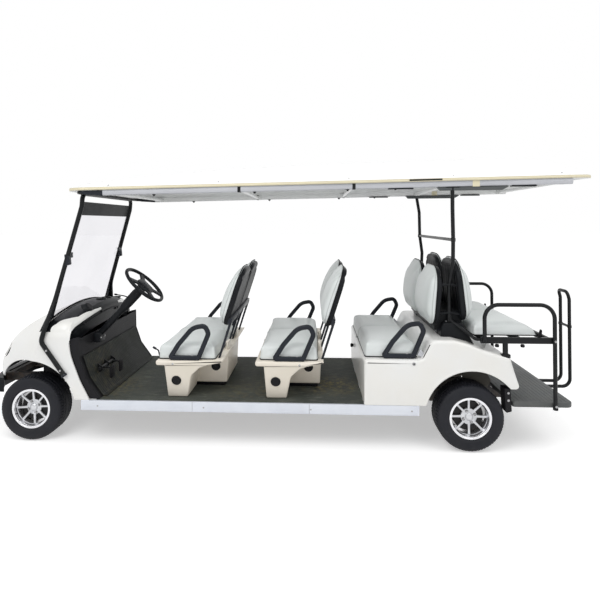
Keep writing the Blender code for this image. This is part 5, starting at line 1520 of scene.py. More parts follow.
    def dashboard(self) -> None:
        """Loft the dashboard, then fit cup rings, gauge, switches and the key."""
        shape = Shape().grid(self.dash_form(0.0))
        y = np.linspace(-0.545, 0.545, 41)
        crease = np.stack([0.3735 - self.bow(y), y, self.top - cowl_drop(y) - 0.060], -1)
        shape.grid(carried(shifted(crease), oval(0.0025, 0.004, 8), (1, 0, 0)))
        for spot in (0.02, 0.13, 0.34):
            z = self.top - cowl_drop(spot) + 0.0135
            shape.turn([(0.036, -0.004), (0.043, -0.004), (0.043, 0.003), (0.040, 0.0055),
                        (0.036, 0.003)], at(0.275, spot, z), (-0.03, 0, 1), 32, ring=True)
            shape.turn([(0, -0.003), (0.0365, -0.003), (0.0365, 0.0), (0, 0.0)],
                       at(0.275, spot, z), (-0.03, 0, 1), 32, finish=1)
        z = self.top - cowl_drop(-0.29) + 0.010
        shape.turn([(0.0, 0.030), (0.030, 0.030), (0.036, 0.027), (0.040, 0.010), (0.052, -0.006),
                    (0, -0.006)], at(0.300, -0.29, z), (0.75, 0, 0.66), 32)
        shape.turn([(0.0, 0.0312), (0.029, 0.0312), (0.029, 0.029), (0, 0.029)],
                   at(0.300, -0.29, z), (0.75, 0, 0.66), 32, finish=1)
        knob = [(0.0, 0.012), (0.008, 0.012), (0.0095, 0.010), (0.010, 0.003), (0.014, 0.002),
                (0.014, -0.004), (0, -0.004)]
        for spot, drop in ((-0.42, 0.055), (-0.17, 0.045), (0.10, 0.07), (0.14, 0.07)):
            place = at(0.370 - self.bow(spot), spot, self.top - cowl_drop(spot) - drop)
            shape.turn(knob, place, (1, 0, -0.05), 20, finish=1 if spot < -0.3 else 0)
        shape.stand("dashboard_moulding", [BLACK_MOULDED, LINING, STEEL], "black_plastic",
                    "dashboard")

    def strips(self) -> None:
        """Lay a pale cover over each end of the dashboard's rear edge, wider outwards.

        Each cover follows the dashboard's own side view, 1.2 mm above it.
        """
        form = self.dash_form(0.0010, 121)
        shape = Shape()
        for side in BOTH:
            rows = []
            for ring in form[side * form[:, 0, 1] > 0.165]:
                out = abs(ring[0, 1])
                wide = (0.006 + 0.024 * eased((out - 0.165) / 0.25)
                        + 0.089 * eased((out - 0.43) / 0.13))
                deep = 0.003 + 0.024 * eased((out - 0.568) / 0.006)
                line = ring[11:26]
                line = line[:np.argmax(line[:, 0]) + 1]
                x = np.linspace(line[-1, 0] - 0.0004 - wide, line[-1, 0] - 0.0004, 12)
                z = np.interp(x, line[:, 0], line[:, 2])
                across = np.full(12, ring[0, 1])
                rows.append(np.concatenate([np.stack([x, across, z + 0.0012], -1),
                                            np.stack([x, across, z - deep], -1)[::-1]]))
            shape.grid(np.stack(rows))
        shape.stand("dashboard_side_strips", [WHITE_BODY], "white_panel", sharp=40)

    def lamps(self) -> None:
        """Stand each lens in its place, with a reflector bowl and two bulbs behind it."""
        section = ((1.0, 0.004), (0.96, 0.020), (0.82, 0.045), (0.55, 0.062), (0.22, 0.070),
                   (0.02, 0.071), (0.02, 0.074), (0.60, 0.066), (0.88, 0.048), (1.02, 0.020),
                   (1.03, 0.004))
        a = angles(48)
        for side_name, side in SIDES:
            refined(f"headlight_{side_name}", f"lamp_lens_{side_name}", LAMP_CLEAR, 0.0008,
                    slot="lamp_lens")
            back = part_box(f"headlight_{side_name}")[1].x
            y, z = side * self.lamp_y, self.lamp_z
            rows = [np.stack([np.full(48, back + depth), y + self.bowl[0] * out * np.cos(a),
                              z + self.bowl[1] * out * np.sin(a)], -1)
                    for out, depth in section]
            bowl = Shape().grid(np.stack(rows), wrap_rows=True, caps=False)
            bowl.turn([(0, -0.022), (0.006, -0.018), (0.009, -0.006), (0.008, 0.004),
                       (0.005, 0.010), (0, 0.010)], (back + 0.058, y, z), (1, 0, 0), 20,
                      finish=1)
            bowl.turn([(0, -0.010), (0.007, -0.008), (0.008, 0.004), (0, 0.006)],
                      (back + 0.052, y + 0.050, z), (1, 0, 0), 16, finish=2)
            bowl.stand(f"lamp_bowl_{side_name}", [REFLECTOR, LAMP_CLEAR, AMBER], "lamp_lens")

    def toe_board(self) -> None:
        """Lay the mat up the toe board: a ribbed sheet that follows the firewall's face, in the
        floor mat's colours darkened as painted shade.
        """
        line = filleted([(0.560, 0.3252), (0.527, 0.3252, 0.03), (0.4285, 0.461, 0.12),
                         (0.3795, 0.600, 0.05), (0.3795, 0.612)], 0.0, steps=8)
        along = np.gradient(line, axis=0)
        out = unit(np.stack([along[:, 1], -along[:, 0]], -1)) * -1
        y = np.linspace(-0.52, 0.52, 165)
        rib = 0.0012 * (np.arange(165) % 4 < 2)
        face = line[:, None] + out[:, None] * (-0.0042 - rib)[None, :, None]
        face = np.stack([face[..., 0], np.broadcast_to(y, face.shape[:2]), face[..., 1]], -1)
        back = line[:, None] - out[:, None] * 0.001 + 0 * face[..., :1]
        back = np.stack([back[..., 0], np.broadcast_to(y, face.shape[:2]), back[..., 1]],
                        -1)[:, ::4][:, ::-1]
        sheet = Shape().grid(shifted(np.concatenate([face, back], 1)))
        sheet.stand("toe_board_mat", [TOE_MAT_PAINTED_SHADE], "floor_rubber", sharp=30)
        shape = Shape()
        outline = loop([(0.440, 0.322, 0.004), (0.368, 0.45, 0.40), (0.300, 0.63, 0.30),
                        (0.286, 0.74, 0.05), (0.376, 0.76), (0.379, 0.60, 0.03),
                        (0.428, 0.46, 0.05), (0.530, 0.322, 0.004)], 5)
        for side in BOTH:
            shape.plate(outline, side * 0.566, side * 0.5765, 0.002)
        shape.stand("door_edge_liners", [LINING], "black_plastic")

    def build(self) -> None:
        """Make the whole front body."""
        self.cowl()
        self.dashboard()
        self.strips()
        self.lamps()
        refined("firewall", "firewall_moulding", LINING, 0.003, slot="black_plastic")
        refined("front_bumper", "bumper_moulding", BLACK_MOULDED, 0.004, slot="black_plastic")
        self.toe_board()


# --------------------------------------------------------------------- floor
@dataclass
class Floor:
    """Ribbed mat on the floor pan, and a folded metal sill along each side."""

    mat: tuple[float, float] = (0.53, WHEELBASE - 0.7233)
    mat_half: float = BODY_HALF - 0.0203
    mat_top: float = 0.3246
    mat_foot: float = 0.3178
    ribs: int = 58
    rib: float = 0.0014
    sill: tuple[float, float] = (0.40, WHEELBASE - 0.35)
    joints: tuple[float, ...] = (1.20, 2.02)
    screws: tuple[float, ...] = (0.52, 1.28, 2.03, 2.72)

    def build(self) -> None:
        """Carry the mat's ribbed section along the floor, and fold the sills.

        The mat's section steps up at every rib; the sill is a rounded plate with a folded
        lip along its top and a drip edge along its foot.
        """
        refined("floor_pan", "floor_pan_sheet", CHASSIS_PAINT, 0.0015, slot="black_steel")
        edges = np.linspace(-self.mat_half, self.mat_half, self.ribs * 2 + 1)
        line = []
        for k in range(self.ribs * 2):
            level = self.mat_top - (self.rib if k % 2 else 0.0)
            line += [(edges[k], level), (edges[k + 1], level)]
        line += [(self.mat_half, self.mat_foot), (-self.mat_half, self.mat_foot)]
        mat = Shape().grid(drawn(np.array(line), np.linspace(*self.mat, 9)))
        mat.stand("ribbed_floor_mat", [MAT], "floor_rubber", "floor_mat", sharp=20)
        for side_name, side in SIDES:
            shape = Shape()
            fold = loop([(0.5795, 0.3155), (0.5795, 0.3185, 0.001), (0.5990, 0.3185, 0.004),
                         (0.5990, 0.2490, 0.003), (0.5850, 0.2490, 0.001), (0.5850, 0.2505),
                         (0.5975, 0.2505, 0.002), (0.5975, 0.3155, 0.003)], 3)
            shape.grid(drawn(fold * (side, 1), np.linspace(*self.sill, 30)))
            for station in self.joints:
                shape.block((station - 0.0012, station + 0.0012),
                            (side * 0.5985, side * 0.5997), (0.2505, 0.3175),
                            0.0004, 1)
            for station in self.screws:
                shape.turn([(0, 0.0022), (0.003, 0.0020), (0.0062, 0.0), (0.0062, -0.002),
                            (0, -0.002)], at(station, side * 0.599, 0.281), (0, side, 0), 14, 1)
            shape.stand(f"folded_sill_{side_name}", [SILL_METAL, STEEL], "sill_metal",
                        f"sill_{side_name}")


# ------------------------------------------------------------------ controls
@dataclass
class Controls:
    """Steering column and wheel, stalk, selector lever and the pedals."""

    hub: Point = (0.755, -0.29, 1.10)
    tilt: float = math.radians(43)
    radius: float = 0.17
    grip: float = 0.0132
    arm: float = 0.026

    def frame_of(self) -> tuple[Array, Array, Array, Array]:
        """Return the wheel's middle, its axis, the way up its face, and sideways."""
        s, c = math.sin(self.tilt), math.cos(self.tilt)
        return (np.array(at(*self.hub)), np.array((s, 0.0, c)), np.array((-c, 0.0, s)),
                np.array((0.0, 1.0, 0.0)))

    def wheel(self) -> None:
        """Turn the rim, loft the arms into it and dome the wide pad in its middle.

        A direction on the wheel's face at angle t is cos t upwards less sin t to the
        right.  The pad's reach varies smoothly with t, widest at its four arms.
        """
        hub, axis, up, right = self.frame_of()
        shape = Shape()
        a = angles(96)
        way = np.cos(a)[:, None] * up - np.sin(a)[:, None] * right
        tube = oval(1.0, 1.0, 18)
        thick = self.grip * (1 + 0.05 * np.cos(a * 3))
        rim = (hub + way[:, None] * (self.radius + thick[:, None] * tube[None, :, 0])[..., None]
               + axis * (thick[:, None] * tube[None, :, 1])[..., None])
        shape.grid(rim, wrap_rows=True)
        arms = tuple(math.radians(t) for t in (55, 145, 215, 305))
        reach = 0.070 - 0.008 * np.cos(a)
        reach += sum(0.020 * np.exp(-((np.angle(np.exp(1j * (a - t))) / 0.36) ** 2)) for t in arms)
        pad = ((0.02, 0.0150), (0.45, 0.0140), (0.75, 0.0105), (0.92, 0.0050), (1.00, -0.004),
               (0.97, -0.012), (0.70, -0.017), (0.02, -0.017))
        shape.grid(np.stack([hub + way * (reach * grow)[:, None] + axis * rise
                             for grow, rise in pad]))
        for t in arms:
            out = math.cos(t) * up - math.sin(t) * right
            flat = np.cross(axis, out)
            share = np.linspace(0, 1, 10)
            along = 0.060 + share * (self.radius - 0.002 - 0.060)
            half = self.arm * (1 - 0.30 * share + 0.25 * share ** 3)
            level = -0.004 + 0.003 * share
            shape.grid(spoke(hub, (out, flat, axis), (along, half, level), 0.0075,
                             oval(1.0, 1.0, 16, 3)))
        shape.turn([(0.0, -0.012), (0.046, -0.012), (0.044, -0.022), (0.034, -0.0445),
                    (0, -0.0445)], tuple(hub), tuple(axis), 32)
        shape.turn([(0.0, 0.0165), (0.021, 0.0160), (0.024, 0.0145), (0.024, 0.012), (0, 0.012)],
                   tuple(hub), tuple(axis), 28, 1)
        shape.stand("padded_steering_wheel", [BLACK_MOULDED, ARM_BLACK], "black_plastic",
                    "steering_wheel", body="steering_wheel")

    def column(self) -> None:
        """Turn the column's shroud and its ribbed boot, and hang the stalk on it."""
        hub, axis, _, _ = self.frame_of()
        foot = hub - 0.53 * axis
        profile = [(0, 0.0), (0.024, 0.0), (0.024, 0.10), (0.027, 0.11), (0.024, 0.12),
                   (0.027, 0.13), (0.024, 0.14), (0.027, 0.15), (0.025, 0.17), (0.025, 0.26),
                   (0.033, 0.30), (0.037, 0.34), (0.038, 0.44), (0.034, 0.470), (0.031, 0.4845),
                   (0, 0.4845)]
        shape = Shape().turn(profile, tuple(foot), tuple(axis), 28)
        y = self.hub[1]
        shape.tube([(0.655, y - 0.01, 0.998), (0.615, y - 0.06, 1.024, 0.05),
                    (0.560, y - 0.085, 1.038)], 0.0042, 0.02, 12)
        shape.tube([(0.572, y - 0.0815, 1.0360), (0.553, y - 0.0868, 1.0390)], 0.0068, sides=14)
        shape.block((0.3763, 0.4260), (y - 0.05, y + 0.05), (0.665, 0.735), 0.006, 0, 0.008)
        for dy in (-0.036, 0.036):
            shape.bolt(at(0.426, y + dy, 0.70), (1, 0, 0), 0.006, 0.005, 1)
        shape.stand("steering_column_shroud", [BLACK_MOULDED, STEEL], "black_plastic",
                    "steering_column")

    def pedals(self) -> None:
        """Hang two ribbed pedal pads on bent arms from their pivot shaft."""
        y = self.hub[1]
        shape = Shape()
        shape.tube([(0.445, y - 0.11, 0.4825), (0.445, y + 0.17, 0.4825)], 0.012, sides=20,
                   start=(1, 0, 0))
        outline = loop([(0.4245, 0.520, 0.004), (0.4245, 0.440, 0.004), (0.465, 0.470, 0.012),
                        (0.465, 0.495, 0.012)], 4)
        for dy in (-0.09, 0.03, 0.15):
            shape.plate(outline, y + dy - 0.003, y + dy + 0.003, 0.001)
        for pedal_y, wide in ((y - 0.06, 0.036), (y + 0.11, 0.032)):
            shape.tube([(0.445, pedal_y, 0.4825), (0.500, pedal_y, 0.487, 0.02),
                        (0.525, pedal_y, 0.462)], 0.0075, 0.02, 12)
            pad = rounded_rectangle((pedal_y - wide, pedal_y + wide), (0.408, 0.500), 0.012, 4)
            shape.plate(pad, 0.520, 0.532, 0.003, 0, 1)
            for k in range(5):
                z = 0.420 + k * 0.017
                rib = rounded_rectangle((pedal_y - wide * 0.8, pedal_y + wide * 0.8),
                                        (z - 0.003, z + 0.003), 0.0028, 3)
                shape.plate(rib, 0.531, 0.5345, 0.001, 0, 1)
        shape.stand("pedal_set", [BLACK_TUBE, LINING], "black_steel", "pedals")

    def lever(self) -> None:
        """Bend the short direction lever up from under the first bench's front edge."""
        shape, y = Shape(), -0.45
        shape.tube([(0.940, y, 0.590), (0.921, y, 0.606, 0.012), (0.914, y, 0.640, 0.015),
                    (0.880, y, 0.660)], 0.005, 0.012, 12)
        shape.tube([(0.896, y, 0.651), (0.873, y, 0.664)], 0.008, sides=14)
        shape.stand("direction_lever", [ARM_BLACK], "black_plastic")

    def build(self) -> None:
        """Make every control."""
        self.wheel()
        self.column()
        self.pedals()
        self.lever()


# --------------------------------------------------------------------- seats
@dataclass
class PadForm:
    """A padded box: plan corners, a rounded upper edge, a crown and drawn-in sides.

    The thickness falls off from a quarter of the way below the middle, by the square of
    the distance, to lose the shares in `thin` at its lower and upper ends.
    """

    wide: float
    deep: float
    thick: float
    corners: tuple[float, float]
    edge: float
    crown: float
    thin: tuple[float, float] = (0.0, 0.0)
    channel: float = 0.0
    pull: float = 0.006
    step: float = 0.0135

    def counts(self) -> tuple[int, int, int]:
        """Return how many cells the box has across, along and up."""
        return (2 * max(3, round(self.wide / self.step / 2)), max(6, round(self.deep / self.step)),
                max(4, round(self.thick / self.step)))

    def surface(self) -> tuple[Array, Array, Array]:
        """Build the box's surface and round it.

        Points start on a lattice over a box with its middle at the origin and its foot at
        0.  In plan, the distance from each corner square's middle is kept as the larger of
        the two sides, which turns squares into circles.  The upper edge is rounded the
        same way, in height and distance from the wall.  The crown falls away as one less
        the square of each share, and the sides are drawn in between the corners.

        Returns:
            Points, quads, and each point's place on the lattice.
        """
        u, v, w = self.counts()
        across, along = np.linspace(-1, 1, u + 1), np.linspace(-1, 1, v + 1)
        up = np.linspace(0, 1, w + 1)
        faces: list[Array] = []
        points: list[Array] = []
        count = 0

        def face(a: Array, b: Array, make: object, flip: bool) -> None:
            """Add one side of the box as a grid."""
            nonlocal count
            ga, gb = np.meshgrid(a, b, indexing="ij")
            points.append(np.stack(make(ga, gb), -1).reshape(-1, 3))
            quads = grid_faces(len(a), len(b), False, False) + count
            faces.append(quads[:, ::-1] if flip else quads)
            count += ga.size

        face(across, along, lambda a, b: (a, b, np.ones_like(a)), True)
        face(across, along, lambda a, b: (a, b, np.zeros_like(a)), False)
        for s in (-1.0, 1.0):
            face(along, up, lambda a, b, s=s: (np.full_like(a, s), a, b), s < 0)
            face(across, up, lambda a, b, s=s: (a, np.full_like(a, s), b), s > 0)
        p = np.concatenate(points)
        s, t, rise = p.T
        half = np.array((self.wide / 2, self.deep / 2))
        flat = p[:, :2] * half
        corner = np.where(t > 0, self.corners[1], self.corners[0])
        core = np.clip(flat, corner[:, None] - half, half - corner[:, None])
        out = flat - core
        length = np.linalg.norm(out, axis=1)
        larger = np.abs(out).max(1)
        way = unit(out)
        flat = core + way * np.where(length > 0, larger, 0)[:, None]
        depth = corner - np.where(length > 0, larger, 0.0)
        reach = np.where(t > -0.25, (t + 0.25) / 1.25, (t + 0.25) / 0.75)
        thick = self.thick * (1 - np.where(t > -0.25, self.thin[1], self.thin[0]) * reach ** 2)
        edge = np.minimum(self.edge, 0.8 * thick)
        a, b = np.clip(edge - depth, 0, None), np.clip(edge - (1 - rise) * thick, 0, None)
        near = (a > 0) & (b > 0)
        scale = np.where(near, np.maximum(a, b) / np.maximum(np.hypot(a, b), 1e-9), 1.0)
        flat -= way * (a - a * scale)[:, None] * near[:, None]
        height = rise * thick - (b - b * scale) * near
        height += self.crown * (1 - s ** 2) ** 0.6 * (1 - t ** 2) ** 0.6 * rise
        height -= self.channel * np.exp(-(flat[:, 0] / 0.011) ** 2) * rise
        swell = np.sin(np.pi * rise) * 0.35 + rise * 0.65
        flat[:, 0] -= np.sign(s) * self.pull * (1 - t ** 2) * swell * (np.abs(s) > 0.9)
        flat[:, 1] -= np.sign(t) * self.pull * (1 - s ** 2) * swell * (np.abs(t) > 0.8)
        return np.column_stack([flat, height]), np.concatenate(faces), p


@dataclass
class Cushion:
    """One vinyl cushion: its form, its place, and the seams that its piping follows."""

    name: str
    node: str
    body: str
    form: PadForm
    place: Matrix
    cap: float
    bench: bool
    fill: float = 0.9
    piping: float = 0.0026
    edging: float = 0.0036
    edging_z: float = 0.0042

    def rest(self) -> bpy.types.Object:
        """Make the pad's mesh in its place, with each point's place on the lattice kept."""
        points, quads, lattice = self.form.surface()
        mesh = bpy.data.meshes.new(self.name)
        where = placed(points, np.array(self.place))
        mesh.from_pydata(where.tolist(), [], quads.tolist())
        mesh.attributes.new("lattice", "FLOAT_VECTOR", "POINT").data.foreach_set(
            "vector", lattice.reshape(-1))
        tidy = bmesh.new()
        tidy.from_mesh(mesh)
        bmesh.ops.remove_doubles(tidy, verts=tidy.verts, dist=1e-5)
        bmesh.ops.recalc_face_normals(tidy, faces=tidy.faces)
        tidy.to_mesh(mesh)
        tidy.free()
        mesh.shade_smooth()
        mesh.materials.append(VINYL.material())
        return stood(self.name, mesh)

    @staticmethod
    def lattice(piece: bpy.types.Object) -> Array:
        """Return each point's place on the lattice of its box."""
        values = np.zeros(len(piece.data.vertices) * 3)
        piece.data.attributes["lattice"].data.foreach_get("vector", values)
        return values.reshape(-1, 3)

    def seam(self, piece: bpy.types.Object) -> Array:
        """Return the points along the seam in order: over a bench, or round a back pad."""
        s, t, rise = self.lattice(piece).T
        if self.bench:
            on = np.flatnonzero((np.abs(s) < 1e-4) & (rise > 1e-4))
            angle = np.arctan2(rise[on] - 0.3, t[on])
        else:
            level = round(self.form.counts()[2] * 0.6) / self.form.counts()[2]
            wall = np.maximum(np.abs(s), np.abs(t)) > 1 - 1e-4
            on = np.flatnonzero(wall & (np.abs(rise - level) < 1e-4))
            angle = np.arctan2(t[on] * self.form.deep, s[on] * self.form.wide)
        return on[np.argsort(angle)]

    def cloth(self, piece: bpy.types.Object) -> None:
        """Put Blender's cloth on the pad, inflated, with its foot and seam pinned."""
        pins = piece.vertex_groups.new(name="pinned")
        pins.add(np.flatnonzero(self.lattice(piece)[:, 2] < 0.1).tolist(), 1.0, "REPLACE")
        pins.add(self.seam(piece).tolist(), 0.96, "REPLACE")
        cloth = piece.modifiers.new("stuffing", "CLOTH")
        settings = cloth.settings
        settings.quality = 4
        settings.mass = 0.25
        settings.tension_stiffness = settings.compression_stiffness = 12.0
        settings.shear_stiffness = 4.0
        settings.bending_stiffness = 1.2
        settings.use_pressure = True
        settings.uniform_pressure_force = 4.0
        settings.effector_weights.gravity = 0.0
        settings.vertex_group_mass = pins.name
        cloth.collision_settings.use_collision = False
        cloth.collision_settings.use_self_collision = False

    def finish(self, piece: bpy.types.Object) -> None:
        """Cap the cloth's travel, lay the piping and the foot's dark edging, subdivide."""
        count = len(piece.data.vertices)
        start = np.zeros(count * 3)
        piece.data.vertices.foreach_get("co", start)
        start = start.reshape(-1, 3)
        seam = self.seam(piece)
        if piece.modifiers:
            graph = bpy.context.evaluated_depsgraph_get()
            swollen = np.zeros(count * 3)
            piece.evaluated_get(graph).data.vertices.foreach_get("co", swollen)
            travel = swollen.reshape(-1, 3) - start
            length = np.maximum(np.linalg.norm(travel, axis=1, keepdims=True), 1e-9)
            start = start + travel * (self.cap * np.tanh(length / self.cap) / length)
            piece.modifiers.clear()
            piece.vertex_groups.clear()
        piece.data.vertices.foreach_set("co", start.reshape(-1))
        piece.data.update()
        closed = not self.bench
        path = curve_through(start[seam], 2, closed=closed)
        cord = oval(self.piping, self.piping, 8)
        piping = Shape().grid(carried(path, cord, (0.3, 0.5, 0.81), closed), wrap_rows=closed,
                              caps=self.bench)
        half = np.array((self.form.wide, self.form.deep)) / 2 + 0.0005
        corners = self.form.corners
        foot = loop([(-half[0], -half[1], corners[0]), (half[0], -half[1], corners[0]),
                     (half[0], half[1], corners[1]), (-half[0], half[1], corners[1])], 8)
        turn = np.array(self.place)
        foot = placed(np.column_stack([foot, np.full(len(foot), self.edging_z)]), turn)
        cord = oval(self.edging, self.edging, 8)
        piping.grid(carried(foot, cord, turn[:3, 2], True), wrap_rows=True, finish=1)
        rounder = piece.modifiers.new("fuller vinyl", "SUBSURF")
        rounder.levels = rounder.render_levels = 1
        settled(piece, "seat_vinyl", self.body, self.node)
        piping.stand(f"piping_{self.name}", [PIPING, LINING], "seat_vinyl", body=self.body)


@dataclass
class Seats:
    """All benches: cushions, backrests with their shells, armrests and pedestals.

    Columns of benches: front and rear stations, foot, thickness, shares thinned at the
    rear and front.  Columns of backs: foot's station and height, lean, height, facing.
    Columns of arms: bench, station and foot of an armrest.  Columns of arm: run, rise and
    radius of each corner of its loop.
    """

    half: float = BODY_HALF - 0.06
    benches: tuple = (("row_1", 0.935, 1.357, 0.6003, 0.103, (0.10, 0.0)),
                      ("row_2", 1.665, 2.085, 0.6003, 0.103, (0.10, 0.0)),
                      ("row_3", 2.405, 2.775, 0.6303, 0.103, (0.0, 0.0)),
                      ("rear", 3.15, 3.59, 0.7873, 0.078, (0.42, 0.0)))
    backs: tuple = (("row_1", 1.401, 0.83, 18.0, 0.43, -1), ("row_2", 2.143, 0.83, 18.0, 0.43, -1),
                    ("row_3", 2.905, 0.84, 5.0, 0.41, -1), ("rear", 3.12, 0.875, -6.0, 0.43, 1))
    arms: tuple = (("row_1", 1.002, 0.6003), ("row_2", 1.745, 0.6003), ("row_3", 2.505, 0.6303))
    arm: tuple = ((0.0, 0.0, 0.012), (0.245, 0.0, 0.020), (0.326, 0.190, 0.060),
                  (0.290, 0.264, 0.050), (0.185, 0.246, 0.12), (0.080, 0.125, 0.20))
    shell_thick: float = 0.028
    inner: float = 0.015
    outer: float = BODY_HALF - 0.10
    cloth_frames: int = 20
    band: float = 0.0170

    @property
    def pad_y(self) -> float:
        """Return how far off centre the middle of each back pad stands."""
        return (self.outer + self.inner) / 2

    @staticmethod
    def leant(station: float, z: float, lean: float) -> Matrix:
        """Return the place of a backrest's foot, leaning by an angle in degrees."""
        return (Matrix.Translation(at(station, 0, z))
                @ Matrix.Rotation(math.radians(lean), 4, "Y"))

    def cushions(self) -> list[Cushion]:
        """List every cushion with its form and place."""
        found = []
        for name, front, rear, under, thick, thin in self.benches:
            form = PadForm(2 * self.half - 0.012, rear - front - 0.012, thick, (0.022, 0.022),
                           0.034, 0.009, thin, 0.005)
            middle_x = (front + rear) / 2 + AXLE_X
            place = Matrix.Translation((middle_x, 0, under)) @ Matrix.Rotation(math.pi / 2, 4, "Z")
            body = "seat_lid" if name == "row_3" else CHASSIS
            found.append(Cushion(f"bench_cushion_{name}", f"seat_cushion_{name}", body, form,
                                 place, 0.008, True))
        wide = self.outer - self.inner - 0.010
        for name, foot_x, foot_z, lean, height, facing in self.backs:
            base = self.leant(foot_x, foot_z, lean)
            for side_name, side in SIDES:
                form = PadForm(wide, height + 0.006, 0.058, (0.085, 0.170), 0.024, 0.010,
                               (0.35, 0.64))
                mid_y = side * self.pad_y
                face = Matrix(((0, 0, facing, facing * 0.0005), (facing, 0, 0, mid_y),
                               (0, 1, 0, (height + 0.012) / 2), (0, 0, 0, 1)))
                found.append(Cushion(f"back_pad_{name}_{side_name}",
                                     f"back_cushion_{name}_{side_name}", CHASSIS, form,
                                     base @ face, 0.010, False))
        return found

    def pads(self) -> None:
        """Build every cushion; one run of the cloth swells them all together."""
        cushions = self.cushions()
        pieces = [cushion.rest() for cushion in cushions]
        for cushion, piece in zip(cushions, pieces):
            cushion.cloth(piece)
        for frame_number in range(1, self.cloth_frames + 1):
            bpy.context.scene.frame_set(frame_number)
        for cushion, piece in zip(cushions, pieces):
            cushion.finish(piece)
        bpy.context.scene.frame_set(1)

    def shells(self) -> None:
        """Mould the black shells behind the backs, with recessed panels, rails and legs."""
        shared, finishes = Shape(), [BLACK_MOULDED, ARM_BLACK, STEEL]
        for name, foot_x, foot_z, lean, height, facing in self.backs:
            shape = shared if name in ("row_3", "rear") else Shape()
            turn = np.array(self.leant(foot_x, foot_z, lean))
            form = PadForm(self.outer - self.inner, height, self.shell_thick, (0.080, 0.172),
                           0.012, 0.007, pull=0.0, step=0.012)
            points, quads, _ = form.surface()
            s = np.abs(points[:, 0]) / (form.wide / 2)
            t = np.abs(points[:, 1]) / (form.deep / 2)
            inset = eased((0.84 - s) / 0.07) * eased((0.82 - t) / 0.08)
            rear_side = points[:, 2] > self.shell_thick * 0.7
            points[:, 2] -= (0.006 - 0.0022 * (np.cos(points[:, 0] * 2 * np.pi / 0.075) > 0.80)
                             ) * inset * rear_side
            for side in BOTH:
                mid_y = side * self.pad_y
                local = np.stack([-facing * points[:, 2], mid_y + points[:, 0],
                                  height / 2 + points[:, 1]], -1)
                shape.points.append(placed(local, turn))
                shape.faces += (quads + shape.count).tolist()
                shape.finish += [0] * len(quads)
                shape.count += len(points)
            if name in ("row_1", "row_2"):
                self.bracket(shape, turn, foot_z, lean)
                shape.stand(f"back_shells_{name}", finishes, "black_plastic",
                            f"back_shell_{name}")
        self.tower(shared)
        shared.stand("rear_back_shells", finishes, "black_plastic", "back_frame_rear")

    def bracket(self, shape: Shape, turn: Array, foot_z: float, lean: float) -> None:
        """Add the rail across a row's shells and the four legs down to its pedestal."""
        first = shape.count
        rail = self.outer - 0.005
        shape.block((0.022, 0.048), (-rail, rail), (0.02, 0.07), 0.003, 1, 0.004)
        drop = (foot_z - PEDESTAL_TOP - 0.0003) / math.cos(math.radians(lean))
        for y in (0.018 - rail, -0.12, 0.12, rail - 0.018):
            leg = loop([(0.036, 0.0115 - drop), (0.050, 0.016 - drop), (0.051, 0.055, 0.006),
                        (0.030, 0.060, 0.006), (0.034, 0.0, 0.02)], 4)
            shape.plate(leg, y - 0.015, y + 0.015, 0.0025, finish=1)
            if abs(y) > 0.2:
                continue
            hinge = loop([(0.020, -0.095, 0.012), (0.044, -0.060, 0.016),
                          (0.055, 0.030, 0.016), (0.028, 0.060, 0.010)], 5)
            shape.plate(hinge, y - 0.018, y + 0.018, 0.003, finish=1)
            for z in (-0.045, 0.012):
                for side in BOTH:
                    shape.bolt(at(0.036, y + side * 0.018, z), (0, side, 0), 0.0065, 0.005, 1)
        points = np.concatenate(shape.points)
        points[first:] = placed(points[first:] - (AXLE_X, 0.0, 0.0), turn)
        shape.points = [points]

    def tower(self, shape: Shape) -> None:
        """Add the box frame between the row 3 and rear shells, with its legs and ties."""
        half, foot = self.outer - 0.07, 0.7053
        outline = loop([(2.917, foot + 0.095, 0.006), (3.108, foot + 0.095, 0.006),
                        (3.108, foot + 0.235, 0.006), (2.917, foot + 0.235, 0.006)], 3)
        shape.plate(outline, -half, half, 0.006)
        cover = loop([(2.945, 0.706), (2.947, 0.800, 0.02), (2.965, 0.862, 0.02),
                      (3.10, 0.862, 0.02), (3.13, 0.80, 0.03), (3.18, 0.706)], 5)
        shape.plate(cover, -0.485, 0.485, 0.010)
        for y in (-(half - 0.07), half - 0.07):
            shape.block((2.942, 3.060), (y - 0.03, y + 0.03), (foot, foot + 0.145), 0.004, 1,
                        0.006)
        for side in BOTH:
            y = side * (self.outer - 0.020)
            for top in (1.12, 0.92):
                shape.tube([(2.93, y * 0.96, top), (3.015, y * 0.96, top + 0.012),
                            (3.09, y * 0.96, top)], 0.009, 0.03, 12)
            for x, z in ((2.95, 0.80), (2.99, 0.83), (3.05, 0.82)):
                shape.bolt(at(x, side * half, z), (0, side, 0), 0.008, 0.007, 1)

    def armrests(self) -> None:
        """Carry a rounded band round each D-shaped loop, with bolts into the bench.

        The band's middle is the loop moved inwards by half its width: each corner moves by
        the sum of its two sides' normals over one more than their product.
        """
        band, corners = self.band, np.array(self.arm)
        ahead = unit(np.roll(corners[:, :2], -1, 0) - corners[:, :2])
        second = np.stack([-ahead[:, 1], ahead[:, 0]], -1)
        first = np.roll(second, 1, 0)
        shift = (first + second) * band / (1 + np.sum(first * second, 1, keepdims=True))
        line = loop([(*(row[:2] + move), max(row[2] - band, 0.008))
                     for row, move in zip(corners, shift)], 8)
        section = oval(0.0135, band, 16, 2.6)
        for name, x, z in self.arms:
            for side_name, side in SIDES:
                y = side * (self.half + 0.019)
                path = np.column_stack([line[:, 0] + x, np.full(len(line), y), line[:, 1] + z])
                shape = Shape().grid(carried(shifted(path), section, (0, 1, 0), True),
                                     wrap_rows=True)
                for dx in (0.05, 0.19):
                    shape.bolt(at(x + dx, y, z + 2 * band - 0.001), (0, 0, 1), 0.006, 0.004, 1)
                shape.stand(f"arm_loop_{name}_{side_name}", [ARM_BLACK, STEEL], "black_plastic",
                            f"armrest_{name}_{side_name}")

